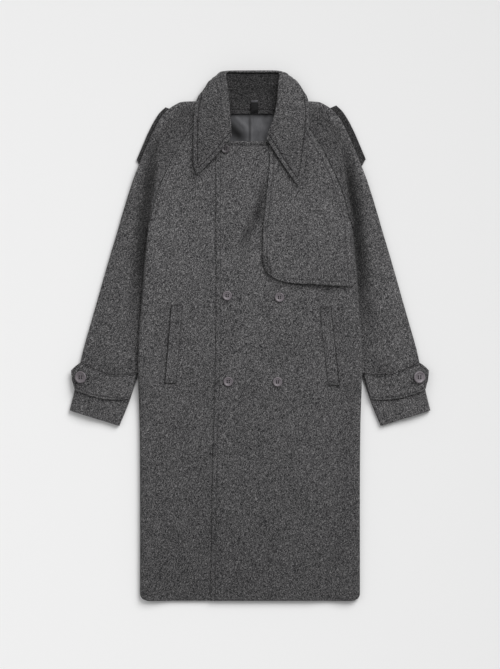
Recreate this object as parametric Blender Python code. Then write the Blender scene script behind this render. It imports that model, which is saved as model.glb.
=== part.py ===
"""A long double-breasted wool overcoat with raglan sleeves, laid flat with its front up.

Metres, +Z up. The back rests on Z = 0, the collar points to +Y and the wearer's left is +X.
Every cloth piece is a thin wall: a grid of points on its outer face, and the same grid moved in by the
cloth's thickness. What lies on a panel takes its heights from that panel's finished faces.
"""

import math
from collections import namedtuple

import bpy
import numpy as np
from mathutils import Matrix, Vector
from mathutils.bvhtree import BVHTree

# Cloth
WALL = 0.0026  # melange coating with its fusing
DOUBLE = 0.0032  # collar, flap and straps: two layers pressed flat
SEAM = 0.0003  # between two pieces that are sewn together
REST_GAP = 0.0005  # between a piece and what it lies on, where both bend
NEAR = 0.0070  # a piece rests on the highest point within this reach of each of its own

# The coat lying flat
HEM_Y = -0.6348
HEM_CORNER = 0.017
MID_THICK = 0.0084  # back and one front, lying on each other
SIDE_THICK = 0.0150  # the same at the side fold
SIDE_ROLL = 0.0070  # how far in from the side edge the fold rounds over
SIDE_SWELL = 0.070  # the body thickens over this width towards its side fold
TUCK_RISE = 0.0074  # the body's side lies on the sleeve that is tucked under it
TUCK_RAMP = 0.050
TUCK_END, TUCK_FULL = -0.180, -0.115  # the tuck fades out between these heights
NECK_RISE = 0.0047  # the back of the collar is folded under the neck
NECK_STEP_FOOT, NECK_STEP_HEAD = 0.472, 0.505  # the rise begins and is complete at these heights
NECK_STEP_WIDE, NECK_STEP_FULL = 0.175, 0.140  # and so across
STRAP_RISE = 0.0034  # the shoulder strap lies under the shoulder's edge
STRAP_STEP_FOOT, STRAP_STEP_HEAD = 0.335, 0.385  # the sleeve comes up on to the strap between these heights
STRAP_STEP_IN, STRAP_STEP_OUT = 0.130, 0.160
STRAP_REACH, STRAP_REACH_FULL = 0.075, 0.050  # measured in from the shoulder's edge
ARMHOLE_FOOT_Y = 0.275  # below this the front and the back close into a side fold
SIDE_CLOSED_Y = 0.245

# The fronts
OVERLAP_END = 0.100  # how far the lower front reaches under the upper one
OVERLAP_EASE, OVERLAP_SETTLED = 0.150, 0.205  # between these the upper front comes down to the lower one
NECK_SIDE_X, NECK_SIDE_Y = 0.098, 0.5385  # where the raglan seam meets the neck seam
BACK_NECK_Y = NECK_SIDE_Y

# Outline of the body: the side fold from the hem to the shoulder
Fold = namedtuple("Fold", "y x")
SIDE_FOLD = [
    Fold(-0.6348, 0.2635),
    Fold(-0.2260, 0.2645),
    Fold(-0.1060, 0.2676),
    Fold(-0.0342, 0.2680),
    Fold(0.0500, 0.2620),
    Fold(0.1650, 0.2535),
    Fold(0.2538, 0.2450),
    Fold(0.2850, 0.2415),
    Fold(0.3556, 0.2310),
    Fold(0.4480, 0.2220),
    Fold(0.5800, 0.2160),
]
Raglan = namedtuple("Raglan", "y x")
RAGLAN_SEAM = [
    Raglan(0.2700, 0.2440),
    Raglan(0.2840, 0.2375),
    Raglan(0.3130, 0.2300),
    Raglan(0.3450, 0.2205),
    Raglan(0.3770, 0.2080),
    Raglan(0.4080, 0.1930),
    Raglan(0.4400, 0.1770),
    Raglan(0.4986, 0.1390),
    Raglan(NECK_SIDE_Y, NECK_SIDE_X),
]
FrontEdge = namedtuple("FrontEdge", "y x")
FRONT_EDGE = [
    FrontEdge(-0.6348, -0.0940),
    FrontEdge(-0.3000, -0.0890),
    FrontEdge(-0.0400, -0.0820),
    FrontEdge(0.4660, -0.0816),
]
# Heights of the rows of points on the body, measured at its side: the hem's corner, the skirt, the pockets
# and sleeves, then the places where the raglan seam and the sleeve share points
HEM_ROWS = [-0.6348, -0.6290, -0.6178]
SKIRT_ROWS = [-0.520, -0.400, -0.290, -0.200]
POCKET_ROWS = [-0.155, -0.110, -0.055, 0.000, 0.060]
CHEST_ROWS = [0.115, 0.165, 0.205, 0.235, 0.260]
RAGLAN_ROWS = [0.284, 0.313, 0.345, 0.377, 0.408, 0.440, 0.472, 0.4986, 0.5205]
BODY_ROWS = HEM_ROWS + SKIRT_ROWS + POCKET_ROWS + CHEST_ROWS + RAGLAN_ROWS
ROLL_ANGLES = np.radians([90.0, 60.0, 30.0, 0.0])  # points round a folded edge, from its top to its seam
PLAIN_SHARES = np.linspace(0.0, 0.84, 7)  # columns on the flat of a front

# A sleeve, the wearer's left, from the neck to the cuff. drop is 0 on the body's level and 1 below it,
# roll is 1 where the inner edge is a rounded fold.
Sleeve = namedtuple("Sleeve", "out_x out_y in_x in_y drop roll")
SLEEVE_ROWS = [
    Sleeve(0.1060, 0.5560, 0.0980, 0.5385, 0.0, 0.0),
    Sleeve(0.1300, 0.5620, 0.1180, 0.5205, 0.0, 0.0),
    Sleeve(0.1608, 0.5608, 0.1390, 0.4986, 0.0, 0.0),
    Sleeve(0.1824, 0.5520, 0.1575, 0.4720, 0.0, 0.0),
    Sleeve(0.2088, 0.5290, 0.1770, 0.4400, 0.0, 0.0),
    Sleeve(0.2304, 0.4930, 0.1930, 0.4080, 0.0, 0.0),
    Sleeve(0.2500, 0.4490, 0.2080, 0.3770, 0.0, 0.0),
    Sleeve(0.2670, 0.4080, 0.2205, 0.3450, 0.0, 0.0),
    Sleeve(0.2800, 0.3740, 0.2300, 0.3130, 0.0, 0.0),
    Sleeve(0.2900, 0.3440, 0.2375, 0.2840, 0.0, 0.0),
    Sleeve(0.2955, 0.3270, 0.2450, 0.2660, 0.5, 0.0),
    Sleeve(0.3010, 0.3080, 0.2470, 0.2520, 1.0, 0.0),
    Sleeve(0.3080, 0.2850, 0.2260, 0.2320, 1.0, 0.0),
    Sleeve(0.3180, 0.2500, 0.2000, 0.2050, 1.0, 0.0),
    Sleeve(0.3330, 0.2000, 0.1945, 0.1650, 1.0, 0.0),
    Sleeve(0.3475, 0.1500, 0.2020, 0.1150, 1.0, 0.0),
    Sleeve(0.3650, 0.0880, 0.2150, 0.0600, 1.0, 0.0),
    Sleeve(0.3840, 0.0220, 0.2340, 0.0000, 1.0, 0.0),
    Sleeve(0.4005, -0.0370, 0.2540, -0.0580, 1.0, 0.0),
    Sleeve(0.4120, -0.0900, 0.2736, -0.1104, 1.0, 0.6),
    Sleeve(0.4220, -0.1360, 0.2880, -0.1550, 1.0, 1.0),
    Sleeve(0.4325, -0.1790, 0.3130, -0.2160, 1.0, 1.0),
]
SleeveHeight = namedtuple("SleeveHeight", "y valley crest edge")
SLEEVE_HEIGHTS = [
    SleeveHeight(-0.2200, 0.0110, 0.0145, 0.0115),
    SleeveHeight(-0.1500, 0.0105, 0.0150, 0.0115),
    SleeveHeight(-0.1000, 0.0075, 0.0170, 0.0115),
    SleeveHeight(-0.0500, 0.0060, 0.0190, 0.0115),
    SleeveHeight(0.2500, 0.0060, 0.0190, 0.0115),
    SleeveHeight(0.2850, 0.0066, 0.0175, 0.0115),
    SleeveHeight(0.3556, 0.0075, 0.0150, 0.0115),
    SleeveHeight(0.4480, 0.0085, 0.0110, 0.0095),
    SleeveHeight(0.5000, 0.0095, 0.0100, 0.0090),
    SleeveHeight(0.5700, 0.0095, 0.0095, 0.0090),
]
SLEEVE_ROLL = 0.0060
EDGE_EASE = 0.0300  # over this width the sleeve comes to its edge's height
FOLD_SOFT = 0.0045  # half the width of the step from the body's level down to the sleeve's
UNDERARM_FLAT = 2 * WALL + SEAM  # two cloths sewn flat on each other
# Shares of a sleeve row's width
FOLD_ABOVE_UNDERARM = 0.60  # where the row's middle point goes on the shoulder, which has no fold
FOLD_AT_CUFF = 0.30  # and below the body's side, where the sleeve lies free
FREE_SHARES = (0.2, 0.45, 0.72)  # points from the fold to the outer roll
CREST_START, CREST_END = 0.42, 0.55  # the sleeve's crown
# The sleeve's back has fewer points: these of its front's, both rolls kept
SLEEVE_BACK_COLUMNS = [0, 1, 2, 3, 6, 9, 11, 12, 13, 14]
UNDERSIDE_UNEVEN = 0.00002  # every other point of the sleeve's underside stands this much off the floor

# Where the sleeve's tucked edge runs under the body
Tuck = namedtuple("Tuck", "y x")
TUCKED_EDGE = [
    Tuck(-0.0300, 0.2360),
    Tuck(0.0000, 0.2290),
    Tuck(0.0600, 0.2100),
    Tuck(0.1150, 0.1970),
    Tuck(0.1650, 0.1895),
    Tuck(0.2050, 0.1940),
]

# Collar fall: each row runs from the roll line over the crown to the free edge.
# The rows go from the tip of the wearer's right leaf round the back of the neck to the left tip.
Fall = namedtuple("Fall", "roll_x roll_y roll_z crown_x crown_y crown_z edge_x edge_y edge_z")
COLLAR_FALL = [
    Fall(-0.0445, 0.4746, 0.0215, -0.0790, 0.4325, 0.0190, -0.1272, 0.3840, 0.0125),
    Fall(-0.0452, 0.4890, 0.0250, -0.0860, 0.4550, 0.0215, -0.1349, 0.4080, 0.0130),
    Fall(-0.0470, 0.5130, 0.0295, -0.0910, 0.4800, 0.0245, -0.1358, 0.4420, 0.0140),
    Fall(-0.0500, 0.5450, 0.0335, -0.0930, 0.5180, 0.0270, -0.1356, 0.4890, 0.0155),
    Fall(-0.0530, 0.5750, 0.0355, -0.0940, 0.5540, 0.0280, -0.1340, 0.5320, 0.0170),
    Fall(-0.0560, 0.6020, 0.0355, -0.0985, 0.5890, 0.0255, -0.1275, 0.5650, 0.0165),
    Fall(-0.0580, 0.6150, 0.0345, -0.0990, 0.6060, 0.0205, -0.1150, 0.5800, 0.0040),
    Fall(-0.0575, 0.6235, 0.0335, -0.0830, 0.6205, 0.0170, -0.0860, 0.5450, 0.0000),
    Fall(-0.0480, 0.6290, 0.0325, -0.0580, 0.6348, 0.0150, -0.0540, 0.5210, 0.0000),
    Fall(0.0060, 0.6290, 0.0320, 0.0060, 0.6348, 0.0145, 0.0060, 0.5150, 0.0000),
    Fall(0.0630, 0.6290, 0.0325, 0.0720, 0.6340, 0.0150, 0.0660, 0.5210, 0.0000),
    Fall(0.0700, 0.6235, 0.0335, 0.0950, 0.6215, 0.0170, 0.0960, 0.5450, 0.0000),
    Fall(0.0705, 0.6150, 0.0345, 0.1120, 0.6085, 0.0205, 0.1270, 0.5800, 0.0040),
    Fall(0.0690, 0.6020, 0.0355, 0.1140, 0.5920, 0.0255, 0.1385, 0.5670, 0.0165),
    Fall(0.0672, 0.5750, 0.0355, 0.1070, 0.5560, 0.0280, 0.1420, 0.5350, 0.0170),
    Fall(0.0635, 0.5440, 0.0340, 0.1040, 0.5170, 0.0275, 0.1405, 0.4900, 0.0165),
    Fall(0.0545, 0.5110, 0.0305, 0.0960, 0.4700, 0.0255, 0.1340, 0.4390, 0.0165),
    Fall(0.0450, 0.4880, 0.0265, 0.0860, 0.4330, 0.0230, 0.1275, 0.3900, 0.0165),
    Fall(0.0400, 0.4700, 0.0235, 0.0730, 0.4170, 0.0205, 0.1150, 0.3570, 0.0165),
]
LEAF_LIP, BACK_LIP = 0.0020, 0.0015  # how far the fall turns in over its roll, on a leaf and behind the neck
BACK_LIP_HALF, LEAF_LIP_HALF = 0.09, 0.19  # one becomes the other between these shares from the collar's middle
FALL_LIP_DROP = 0.0008
FALL_ACROSS = [0.0, 0.04, 0.1, 0.22, 0.36, 0.5, 0.64, 0.8, 1.0]  # points from the lip to the free edge
FALL_NECK_HALF = 0.17  # share of the collar's length, each way from its middle, that is folded under the neck
LEAF_NEAR = 2.5 * NEAR

# Collar stand: the inside of the neck, from the neck seam up to the roll
Stand = namedtuple("Stand", "top_x top_y top_z foot_x foot_y foot_z")
COLLAR_STAND = [
    Stand(-0.0510, 0.5120, 0.0235, -0.0500, 0.4980, 0.0117),
    Stand(-0.0540, 0.5450, 0.0280, -0.0495, 0.5180, 0.0125),
    Stand(-0.0570, 0.5760, 0.0300, -0.0470, 0.5280, 0.0142),
    Stand(-0.0590, 0.6000, 0.0300, -0.0380, 0.5310, 0.0142),
    Stand(-0.0600, 0.6140, 0.0290, -0.0310, 0.5310, 0.0142),
    Stand(-0.0575, 0.6230, 0.0280, -0.0240, 0.5310, 0.0142),
    Stand(-0.0450, 0.6255, 0.0265, -0.0160, 0.5310, 0.0142),
    Stand(0.0060, 0.6255, 0.0262, 0.0060, 0.5310, 0.0142),
    Stand(0.0570, 0.6255, 0.0265, 0.0290, 0.5310, 0.0142),
    Stand(0.0700, 0.6230, 0.0280, 0.0360, 0.5310, 0.0142),
    Stand(0.0730, 0.6140, 0.0290, 0.0430, 0.5310, 0.0142),
    Stand(0.0725, 0.6000, 0.0300, 0.0500, 0.5310, 0.0142),
    Stand(0.0712, 0.5760, 0.0300, 0.0560, 0.5280, 0.0142),
    Stand(0.0675, 0.5450, 0.0285, 0.0590, 0.5180, 0.0125),
    Stand(0.0585, 0.5120, 0.0245, 0.0560, 0.4980, 0.0120),
]
STAND_HOLLOW = 0.075  # between its two edges the stand sags by this share of its width
STAND_ACROSS = (0.0, 0.2, 0.45, 0.7, 1.0)

# Storm flap: its free edge from the neck down, round the corner and across to the side
FlapEdge = namedtuple("FlapEdge", "x y lift")
FLAP_FRONT_EDGE = [
    FlapEdge(0.0445, 0.4640, 0.0000),
    FlapEdge(0.0470, 0.4200, 0.0008),
    FlapEdge(0.0400, 0.3400, 0.0045),
    FlapEdge(0.0325, 0.2650, 0.0050),
    FlapEdge(0.0302, 0.1950, 0.0030),
    FlapEdge(0.0330, 0.1660, 0.0024),
    FlapEdge(0.0440, 0.1480, 0.0020),
]
FLAP_FOOT_EDGE = [
    FlapEdge(0.0440, 0.1480, 0.0020),
    FlapEdge(0.0610, 0.1360, 0.0020),
    FlapEdge(0.0920, 0.1270, 0.0024),
    FlapEdge(0.1500, 0.1230, 0.0022),
    FlapEdge(0.2100, 0.1190, 0.0012),
    FlapEdge(0.2490, 0.1170, 0.0004),
]
FLAP_INSET = 0.0030  # the flap's side edge stays this far inside the raglan seam
FLAP_SIDE_LIFT = 0.0004
FLAP_LIFT_ACROSS, FLAP_LIFT_UP = 0.35, 0.22  # shares of the flap over which its free edges lift
FLAP_COLUMNS = [0.0, 0.07, *np.linspace(0.18, 1.0, 9)]
FLAP_LINES = [0.0, 0.06, *np.linspace(0.15, 1.0, 14)]

# Lining, loop, pockets and straps
LINING_THICK = 0.0010
LINING_LEFT, LINING_RIGHT, LINING_FOOT, LINING_HEAD = -0.072, 0.064, 0.405, 0.536
PLEAT_X, PLEAT_HALF, PLEAT_HEIGHT = 0.0015, 0.0060, 0.0014
PLEAT_COLUMNS = [PLEAT_X - PLEAT_HALF, PLEAT_X, PLEAT_X + PLEAT_HALF]
LINING_COLUMNS = [LINING_LEFT, -0.040, -0.018, *PLEAT_COLUMNS, 0.022, 0.042, LINING_RIGHT]
LOOP_X, LOOP_WIDE, LOOP_THICK = 0.0110, 0.0170, 0.0016
LOOP_HEAD, LOOP_FOOT, LOOP_ARCH = 0.5640, 0.5330, 0.0040
WELT_WIDE = 0.0280
WELT_NEAR = 0.85 * NEAR
Welt = namedtuple("Welt", "name side head_x head_y foot_x foot_y")
WELTS = [
    Welt("welt_r", "under", -0.1746, 0.0740, -0.1902, -0.1136),
    Welt("welt_l", "over", 0.1806, 0.0670, 0.2004, -0.1184),
]
# past is the share of its drop that the strap has made past the sleeve's crown
CuffStrap = namedtuple("CuffStrap", "head_x head_y foot_x foot_y past")
CUFF_STRAP = [
    CuffStrap(0.2720, -0.0880, 0.2890, -0.1520, 0.0),
    CuffStrap(0.2990, -0.0925, 0.3130, -0.1540, 0.0),
    CuffStrap(0.3300, -0.0930, 0.3430, -0.1520, 0.0),
    CuffStrap(0.3620, -0.0820, 0.3720, -0.1465, 0.0),
    CuffStrap(0.3890, -0.0705, 0.4000, -0.1375, 0.0),
    CuffStrap(0.4030, -0.0640, 0.4190, -0.1290, 0.25),
    CuffStrap(0.4170, -0.0720, 0.4235, -0.1150, 0.6),
    CuffStrap(0.4285, -0.0830, 0.4265, -0.1080, 1.0),
]
CUFF_TIP_DROP = 0.0055  # the pointed end hangs down this far past the sleeve's edge
CUFF_SEAT = DOUBLE + 2 * REST_GAP
CUFF_NEAR = 2 * NEAR
ShoulderStrap = namedtuple("ShoulderStrap", "inset underside")
SHOULDER_STRAP = [  # across the strap: inset is measured inwards from the shoulder's edge
    ShoulderStrap(0.0300, 0.0000),
    ShoulderStrap(0.0110, 0.0000),
    ShoulderStrap(0.0020, 0.0004),
    ShoulderStrap(-0.0050, 0.0018),
    ShoulderStrap(-0.0100, 0.0040),
]
StrapEdge = namedtuple("StrapEdge", "x y")
SHOULDER_EDGE = [
    StrapEdge(0.1960, 0.5410),
    StrapEdge(0.2088, 0.5290),
    StrapEdge(0.2304, 0.4930),
    StrapEdge(0.2500, 0.4490),
    StrapEdge(0.2670, 0.4080),
]
STRAP_POINT = 0.0100  # the strap's neck end is cut to a point this long
STRAP_CORNER = 0.0100  # the corner that shows at its other end is cut off by this much

# Buttons
Button = namedtuple("Button", "name x y across tilt")
BUTTONS = [
    Button("button_1", -0.0545, 0.0960, 0.0230, 0.0),
    Button("button_2", 0.0708, 0.0920, 0.0230, 0.0),
    Button("button_3", -0.0521, -0.1098, 0.0230, 0.0),
    Button("button_4", 0.0660, -0.1105, 0.0230, 0.0),
    Button("button_neck", -0.0590, 0.4470, 0.0200, 0.0),
    Button("button_cuff_r", -0.4040, -0.0990, 0.0290, -0.33),
    Button("button_cuff_l", 0.4040, -0.0990, 0.0290, 0.33),
]
BUTTON_SIDES = 18
BUTTON_THICK = 0.0042
TILTED_SEAT = 0.0027  # a cuff button stands on its lower edge
HOLE_SPREAD = 0.15  # from the button's middle to a hole, in shares of its width
BUTTON_HOLE, BUTTON_HOLE_SIDES = 0.0022, 6
# Across a button from its middle: share of its radius, and height in shares of its thickness
ButtonRing = namedtuple("ButtonRing", "reach height")
BUTTON_RINGS = [
    ButtonRing(0.62, 0.00),
    ButtonRing(0.92, 0.16),
    ButtonRing(1.00, 0.52),
    ButtonRing(0.90, 0.96),
    ButtonRing(0.76, 0.96),
    ButtonRing(0.62, 0.60),
]

# Looks
Look = namedtuple("Look", "colour roughness")
WOOL = Look((0.096, 0.094, 0.096), 0.95)
SATIN = Look((0.105, 0.105, 0.110), 0.38)
TAPE = Look((0.010, 0.010, 0.011), 0.70)
HORN = Look((0.165, 0.148, 0.160), 0.45)


def soft_step(value, start, end):
    """0 at start, 1 at end and a soft S between. start may be the larger."""
    share = np.clip((np.asarray(value, float) - start) / (end - start), 0.0, 1.0)
    return share * share * (3.0 - 2.0 * share)


def soft_curve(xs, ys, at):
    """Values of a curve through (xs, ys) that bends softly and never swings past its points."""
    xs, ys, at = (np.asarray(a, float) for a in (xs, ys, at))
    rise = np.diff(ys) / np.diff(xs)
    slope = np.concatenate([rise[:1], (rise[1:] + rise[:-1]) / 2, rise[-1:]])
    turns = np.concatenate([[False], rise[1:] * rise[:-1] <= 0, [False]])
    slope[turns] = 0.0
    place = np.clip(np.searchsorted(xs, at, side="right") - 1, 0, len(xs) - 2)
    wide = xs[place + 1] - xs[place]
    t = np.clip((at - xs[place]) / wide, 0.0, 1.0)
    start, end = ys[place], ys[place + 1]
    return (
        start * (1 + 2 * t) * (1 - t) ** 2
        + wide * slope[place] * t * (1 - t) ** 2
        + end * t * t * (3 - 2 * t)
        + wide * slope[place + 1] * t * t * (t - 1)
    )


def column(rows, name):
    return np.array([getattr(row, name) for row in rows])


def read_off(rows, name, y):
    """A column of a table at heights y."""
    return soft_curve(column(rows, "y"), column(rows, name), y)


def soft_path(points, shares):
    """Points along a soft line through the given ones, at shares of its length."""
    points = np.asarray(points, float)
    steps = np.linalg.norm(np.diff(points[:, :2], axis=0), axis=1)
    run = np.concatenate([[0.0], np.cumsum(steps)]) / steps.sum()
    return np.stack([soft_curve(run, points[:, k], shares) for k in range(points.shape[1])], axis=-1)


def side_x(y):
    """The edge of the front and the back: the side fold, and above it the raglan seam."""
    seam = np.where(y < RAGLAN_SEAM[0].y, np.inf, read_off(RAGLAN_SEAM, "x", y))
    edge = np.minimum(read_off(SIDE_FOLD, "x", y), seam)
    above_hem = np.clip(np.asarray(y) - HEM_Y, 0.0, HEM_CORNER)
    return edge - (HEM_CORNER - np.sqrt(HEM_CORNER**2 - (HEM_CORNER - above_hem) ** 2))


def side_rolled(y):
    """1 where the side is a closed fold, 0 along the raglan seam."""
    return soft_step(y, ARMHOLE_FOOT_Y, SIDE_CLOSED_Y)


def ground(x, y):
    """What the back rests on: the floor, the tucked sleeves and the back of the collar."""
    across = np.abs(x)
    tuck_x = read_off(TUCKED_EDGE, "x", y)
    tuck = np.clip((across - (tuck_x - TUCK_RAMP)) / TUCK_RAMP, 0.0, 1.0)
    tuck = tuck * side_rolled(y) * soft_step(y, TUCK_END, TUCK_FULL)
    return TUCK_RISE * tuck + neck_ground(x, y)


def neck_ground(x, y):
    rise = soft_step(y, NECK_STEP_FOOT, NECK_STEP_HEAD) * soft_step(np.abs(x), NECK_STEP_WIDE, NECK_STEP_FULL)
    return NECK_RISE * rise


def front_height(x, y):
    """The outer face of one front lying on the back."""
    fold = read_off(SIDE_FOLD, "x", y)
    swell = soft_step(np.abs(x), fold - SIDE_SWELL, fold - SIDE_ROLL)
    return ground(x, y) + MID_THICK + (SIDE_THICK - MID_THICK) * swell


def plain_material(name, look):
    material = bpy.data.materials.new(name)
    material.use_nodes = True
    shader = material.node_tree.nodes["Principled BSDF"]
    shader.inputs["Base Color"].default_value = (*look.colour, 1.0)
    shader.inputs["Roughness"].default_value = look.roughness
    shader.inputs["Metallic"].default_value = 0.0
    material.diffuse_color = (*look.colour, 1.0)
    return material


def add_piece(name, points, faces, look):
    mesh = bpy.data.meshes.new(name)
    mesh.from_pydata([tuple(p) for p in points], [], faces)
    mesh.materials.append(plain_material(name, look))
    piece = bpy.data.objects.new(name, mesh)
    bpy.context.scene.collection.objects.link(piece)
    return piece


def outward(grid):
    """Unit normals of a grid of points, from its rows and columns."""
    along = np.gradient(grid, axis=0, edge_order=2)
    across = np.gradient(grid, axis=1, edge_order=2)
    normal = np.cross(across, along)
    return normal / np.linalg.norm(normal, axis=2, keepdims=True)


def add_wall(name, grid, thick, look, flip=False):
    """A closed wall: the grid is its outer face, seen from outside with columns to the right and rows up."""
    grid = np.asarray(grid, float)
    if flip:
        grid = grid[:, ::-1]
    rows, columns = grid.shape[:2]
    points = np.concatenate([grid.reshape(-1, 3), (grid - thick * outward(grid)).reshape(-1, 3)])
    inner = rows * columns

    def at(row, col, layer):
        return layer * inner + row * columns + col

    faces = []
    for row in range(rows - 1):
        for col in range(columns - 1):
            corners = [(row, col), (row, col + 1), (row + 1, col + 1), (row + 1, col)]
            faces.append([at(*c, 0) for c in corners])
            faces.append([at(*c, 1) for c in reversed(corners)])
    rim = [(0, col) for col in range(columns)]
    rim += [(row, columns - 1) for row in range(1, rows)]
    rim += [(rows - 1, col) for col in range(columns - 2, -1, -1)]
    rim += [(row, 0) for row in range(rows - 2, 0, -1)]
    for here, following in zip(rim, rim[1:] + rim[:1]):
        faces.append([at(*following, 0), at(*here, 0), at(*here, 1), at(*following, 1)])
    return add_piece(name, points, faces, look)


def mirrored(grid):
    return np.asarray(grid) * (-1.0, 1.0, 1.0)


def faces_of(pieces):
    """The faces of finished pieces, ready to be felt from above."""
    trees = []
    for piece in pieces:
        corners = [v.co for v in piece.data.vertices]
        trees.append(BVHTree.FromPolygons(corners, [list(p.vertices) for p in piece.data.polygons]))
    return trees


def top_of(trees, x, y):
    """The highest of these faces at a place, or the floor."""
    heights = [0.0]
    for tree in trees:
        place, _, _, _ = tree.ray_cast(Vector((x, y, 1.0)), Vector((0.0, 0.0, -1.0)))
        if place is not None:
            heights.append(place.z)
    return max(heights)


def tops_of(trees, plan, near=0.0):
    """top_of over a grid of places, taking the highest within a little way of each."""
    plan = np.asarray(plan, float)
    around = [(0.0, 0.0)] + [(near * c, near * s) for c, s in circle(1.0, 0.0, 8)[:, :2]] * (near > 0)
    places = plan.reshape(-1, plan.shape[-1])[:, :2]
    flat = [max(top_of(trees, x + dx, y + dy) for dx, dy in around) for x, y in places]
    return np.array(flat).reshape(plan.shape[:-1])


def rolled_columns(lengths, roll):
    """Shares across a row from its plain edge to its rolled one, and the angle of the roll at each."""
    start = 1.0 - roll / lengths
    shares = [start * p for p in PLAIN_SHARES]
    shares += [1.0 - roll / lengths * (1.0 - math.cos(a)) for a in ROLL_ANGLES]
    return np.stack(shares, axis=1), np.concatenate([np.full(len(PLAIN_SHARES), math.pi / 2), ROLL_ANGLES])


def four_sided(foot, head, left, right, us, vs):
    """Plan points inside four edges, each a function of a share from 0 to 1."""
    v = vs[..., None]
    u = us[..., None]
    corners = (1 - u) * (1 - v) * foot(np.zeros(1)) + u * (1 - v) * foot(np.ones(1))
    corners = corners + (1 - u) * v * head(np.zeros(1)) + u * v * head(np.ones(1))
    return (1 - v) * foot(us) + v * head(us) + (1 - u) * left(vs) + u * right(vs) - corners


def add_front(name, edge_x, neck_edge, step, flip):
    """One front, drawn with its side at +X. edge_x is its free edge, and neck_edge is its top from there."""
    rows = np.array(BODY_ROWS + [NECK_SIDE_Y])
    shares = (rows - HEM_Y) / (NECK_SIDE_Y - HEM_Y)
    head_y = neck_edge[0][1]

    def free_edge(v):
        y = HEM_Y + v * (head_y - HEM_Y)
        return np.stack([edge_x(y), y], axis=-1)

    def side_edge(v):
        y = HEM_Y + v * (NECK_SIDE_Y - HEM_Y)
        return np.stack([side_x(y) - SEAM * (1.0 - side_rolled(y)), y], axis=-1)

    def foot(u):
        start, end = free_edge(np.zeros(1)), side_edge(np.zeros(1))
        return start + np.asarray(u)[..., None] * (end - start)

    def head(u):
        return soft_path(neck_edge, u)

    lengths = np.linalg.norm(side_edge(shares) - free_edge(shares), axis=1)
    us, angles = rolled_columns(lengths, np.minimum(SIDE_ROLL, 0.3 * lengths))
    vs = np.repeat(shares[:, None], us.shape[1], axis=1)
    plan = four_sided(foot, head, free_edge, side_edge, us, vs)
    x, y = plan[..., 0], plan[..., 1]
    fall = side_rolled(y) * (SIDE_THICK / 2 - SEAM) * (1.0 - np.sin(angles))
    grid = np.dstack([x, y, front_height(x, y) + step(x) - fall])
    return add_wall(name, mirrored(grid) if flip else grid, WALL, WOOL, flip)


def add_fronts():
    neck_side = (NECK_SIDE_X, NECK_SIDE_Y)
    under_neck = [(-OVERLAP_END, 0.450), (0.0300, 0.4530), (0.0540, 0.4760), (0.0760, 0.5130), neck_side]
    over_neck = [(-0.0816, 0.4660), (0.0380, 0.4660), (0.0560, 0.4840), (0.0760, 0.5130), neck_side]
    under = add_front(
        "front_under", lambda y: np.full(np.shape(y), -OVERLAP_END), under_neck, lambda x: 0.0 * x, True
    )
    over = add_front(
        "front_over",
        lambda y: read_off(FRONT_EDGE, "x", y),
        over_neck,
        lambda x: (WALL + REST_GAP) * soft_step(x, OVERLAP_SETTLED, OVERLAP_EASE),
        False,
    )
    return under, over


def add_back():
    """The back, its outer face down, with the sides rolled up to the side seams."""
    rows = np.array(BODY_ROWS + [BACK_NECK_Y])
    edge = side_x(rows) - 2 * SEAM * (1.0 - side_rolled(rows))
    ramp_foot = np.minimum(read_off(TUCKED_EDGE, "x", rows) - TUCK_RAMP, 0.62 * edge)
    ramp_head = np.minimum(ramp_foot + TUCK_RAMP, edge - 1.4 * SIDE_ROLL)
    half = [0.0 * rows, 0.5 * ramp_foot, ramp_foot, ramp_head]
    flat_columns = len(half)
    half += [edge - SIDE_ROLL * (1.0 - math.cos(a)) for a in ROLL_ANGLES]
    half = np.stack(half, axis=1)
    sines = np.concatenate([np.ones(flat_columns), np.sin(ROLL_ANGLES)])
    x = np.concatenate([-half[:, :0:-1], half], axis=1)
    sines = np.concatenate([sines[:0:-1], sines])
    y = np.repeat(rows[:, None], x.shape[1], axis=1)
    rise = side_rolled(y) * (SIDE_THICK / 2 - SEAM) * (1.0 - sines)
    return add_wall("back", np.dstack([x, y, ground(x, y) + rise]), WALL, WOOL, flip=True)


def sleeve_ground(x, y):
    """What the sleeve rests on: the floor, and the shoulder strap under the shoulder's edge."""
    edge = np.array([(r.out_x, r.out_y) for r in SLEEVE_ROWS])
    shoulder = soft_step(y, STRAP_STEP_FOOT, STRAP_STEP_HEAD) * soft_step(x, STRAP_STEP_IN, STRAP_STEP_OUT)
    near = np.min(np.hypot(x[..., None] - edge[:, 0], y[..., None] - edge[:, 1]), axis=-1)
    strap = STRAP_RISE * shoulder * soft_step(near, STRAP_REACH, STRAP_REACH_FULL)
    return np.maximum(strap, neck_ground(x, y))


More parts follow.
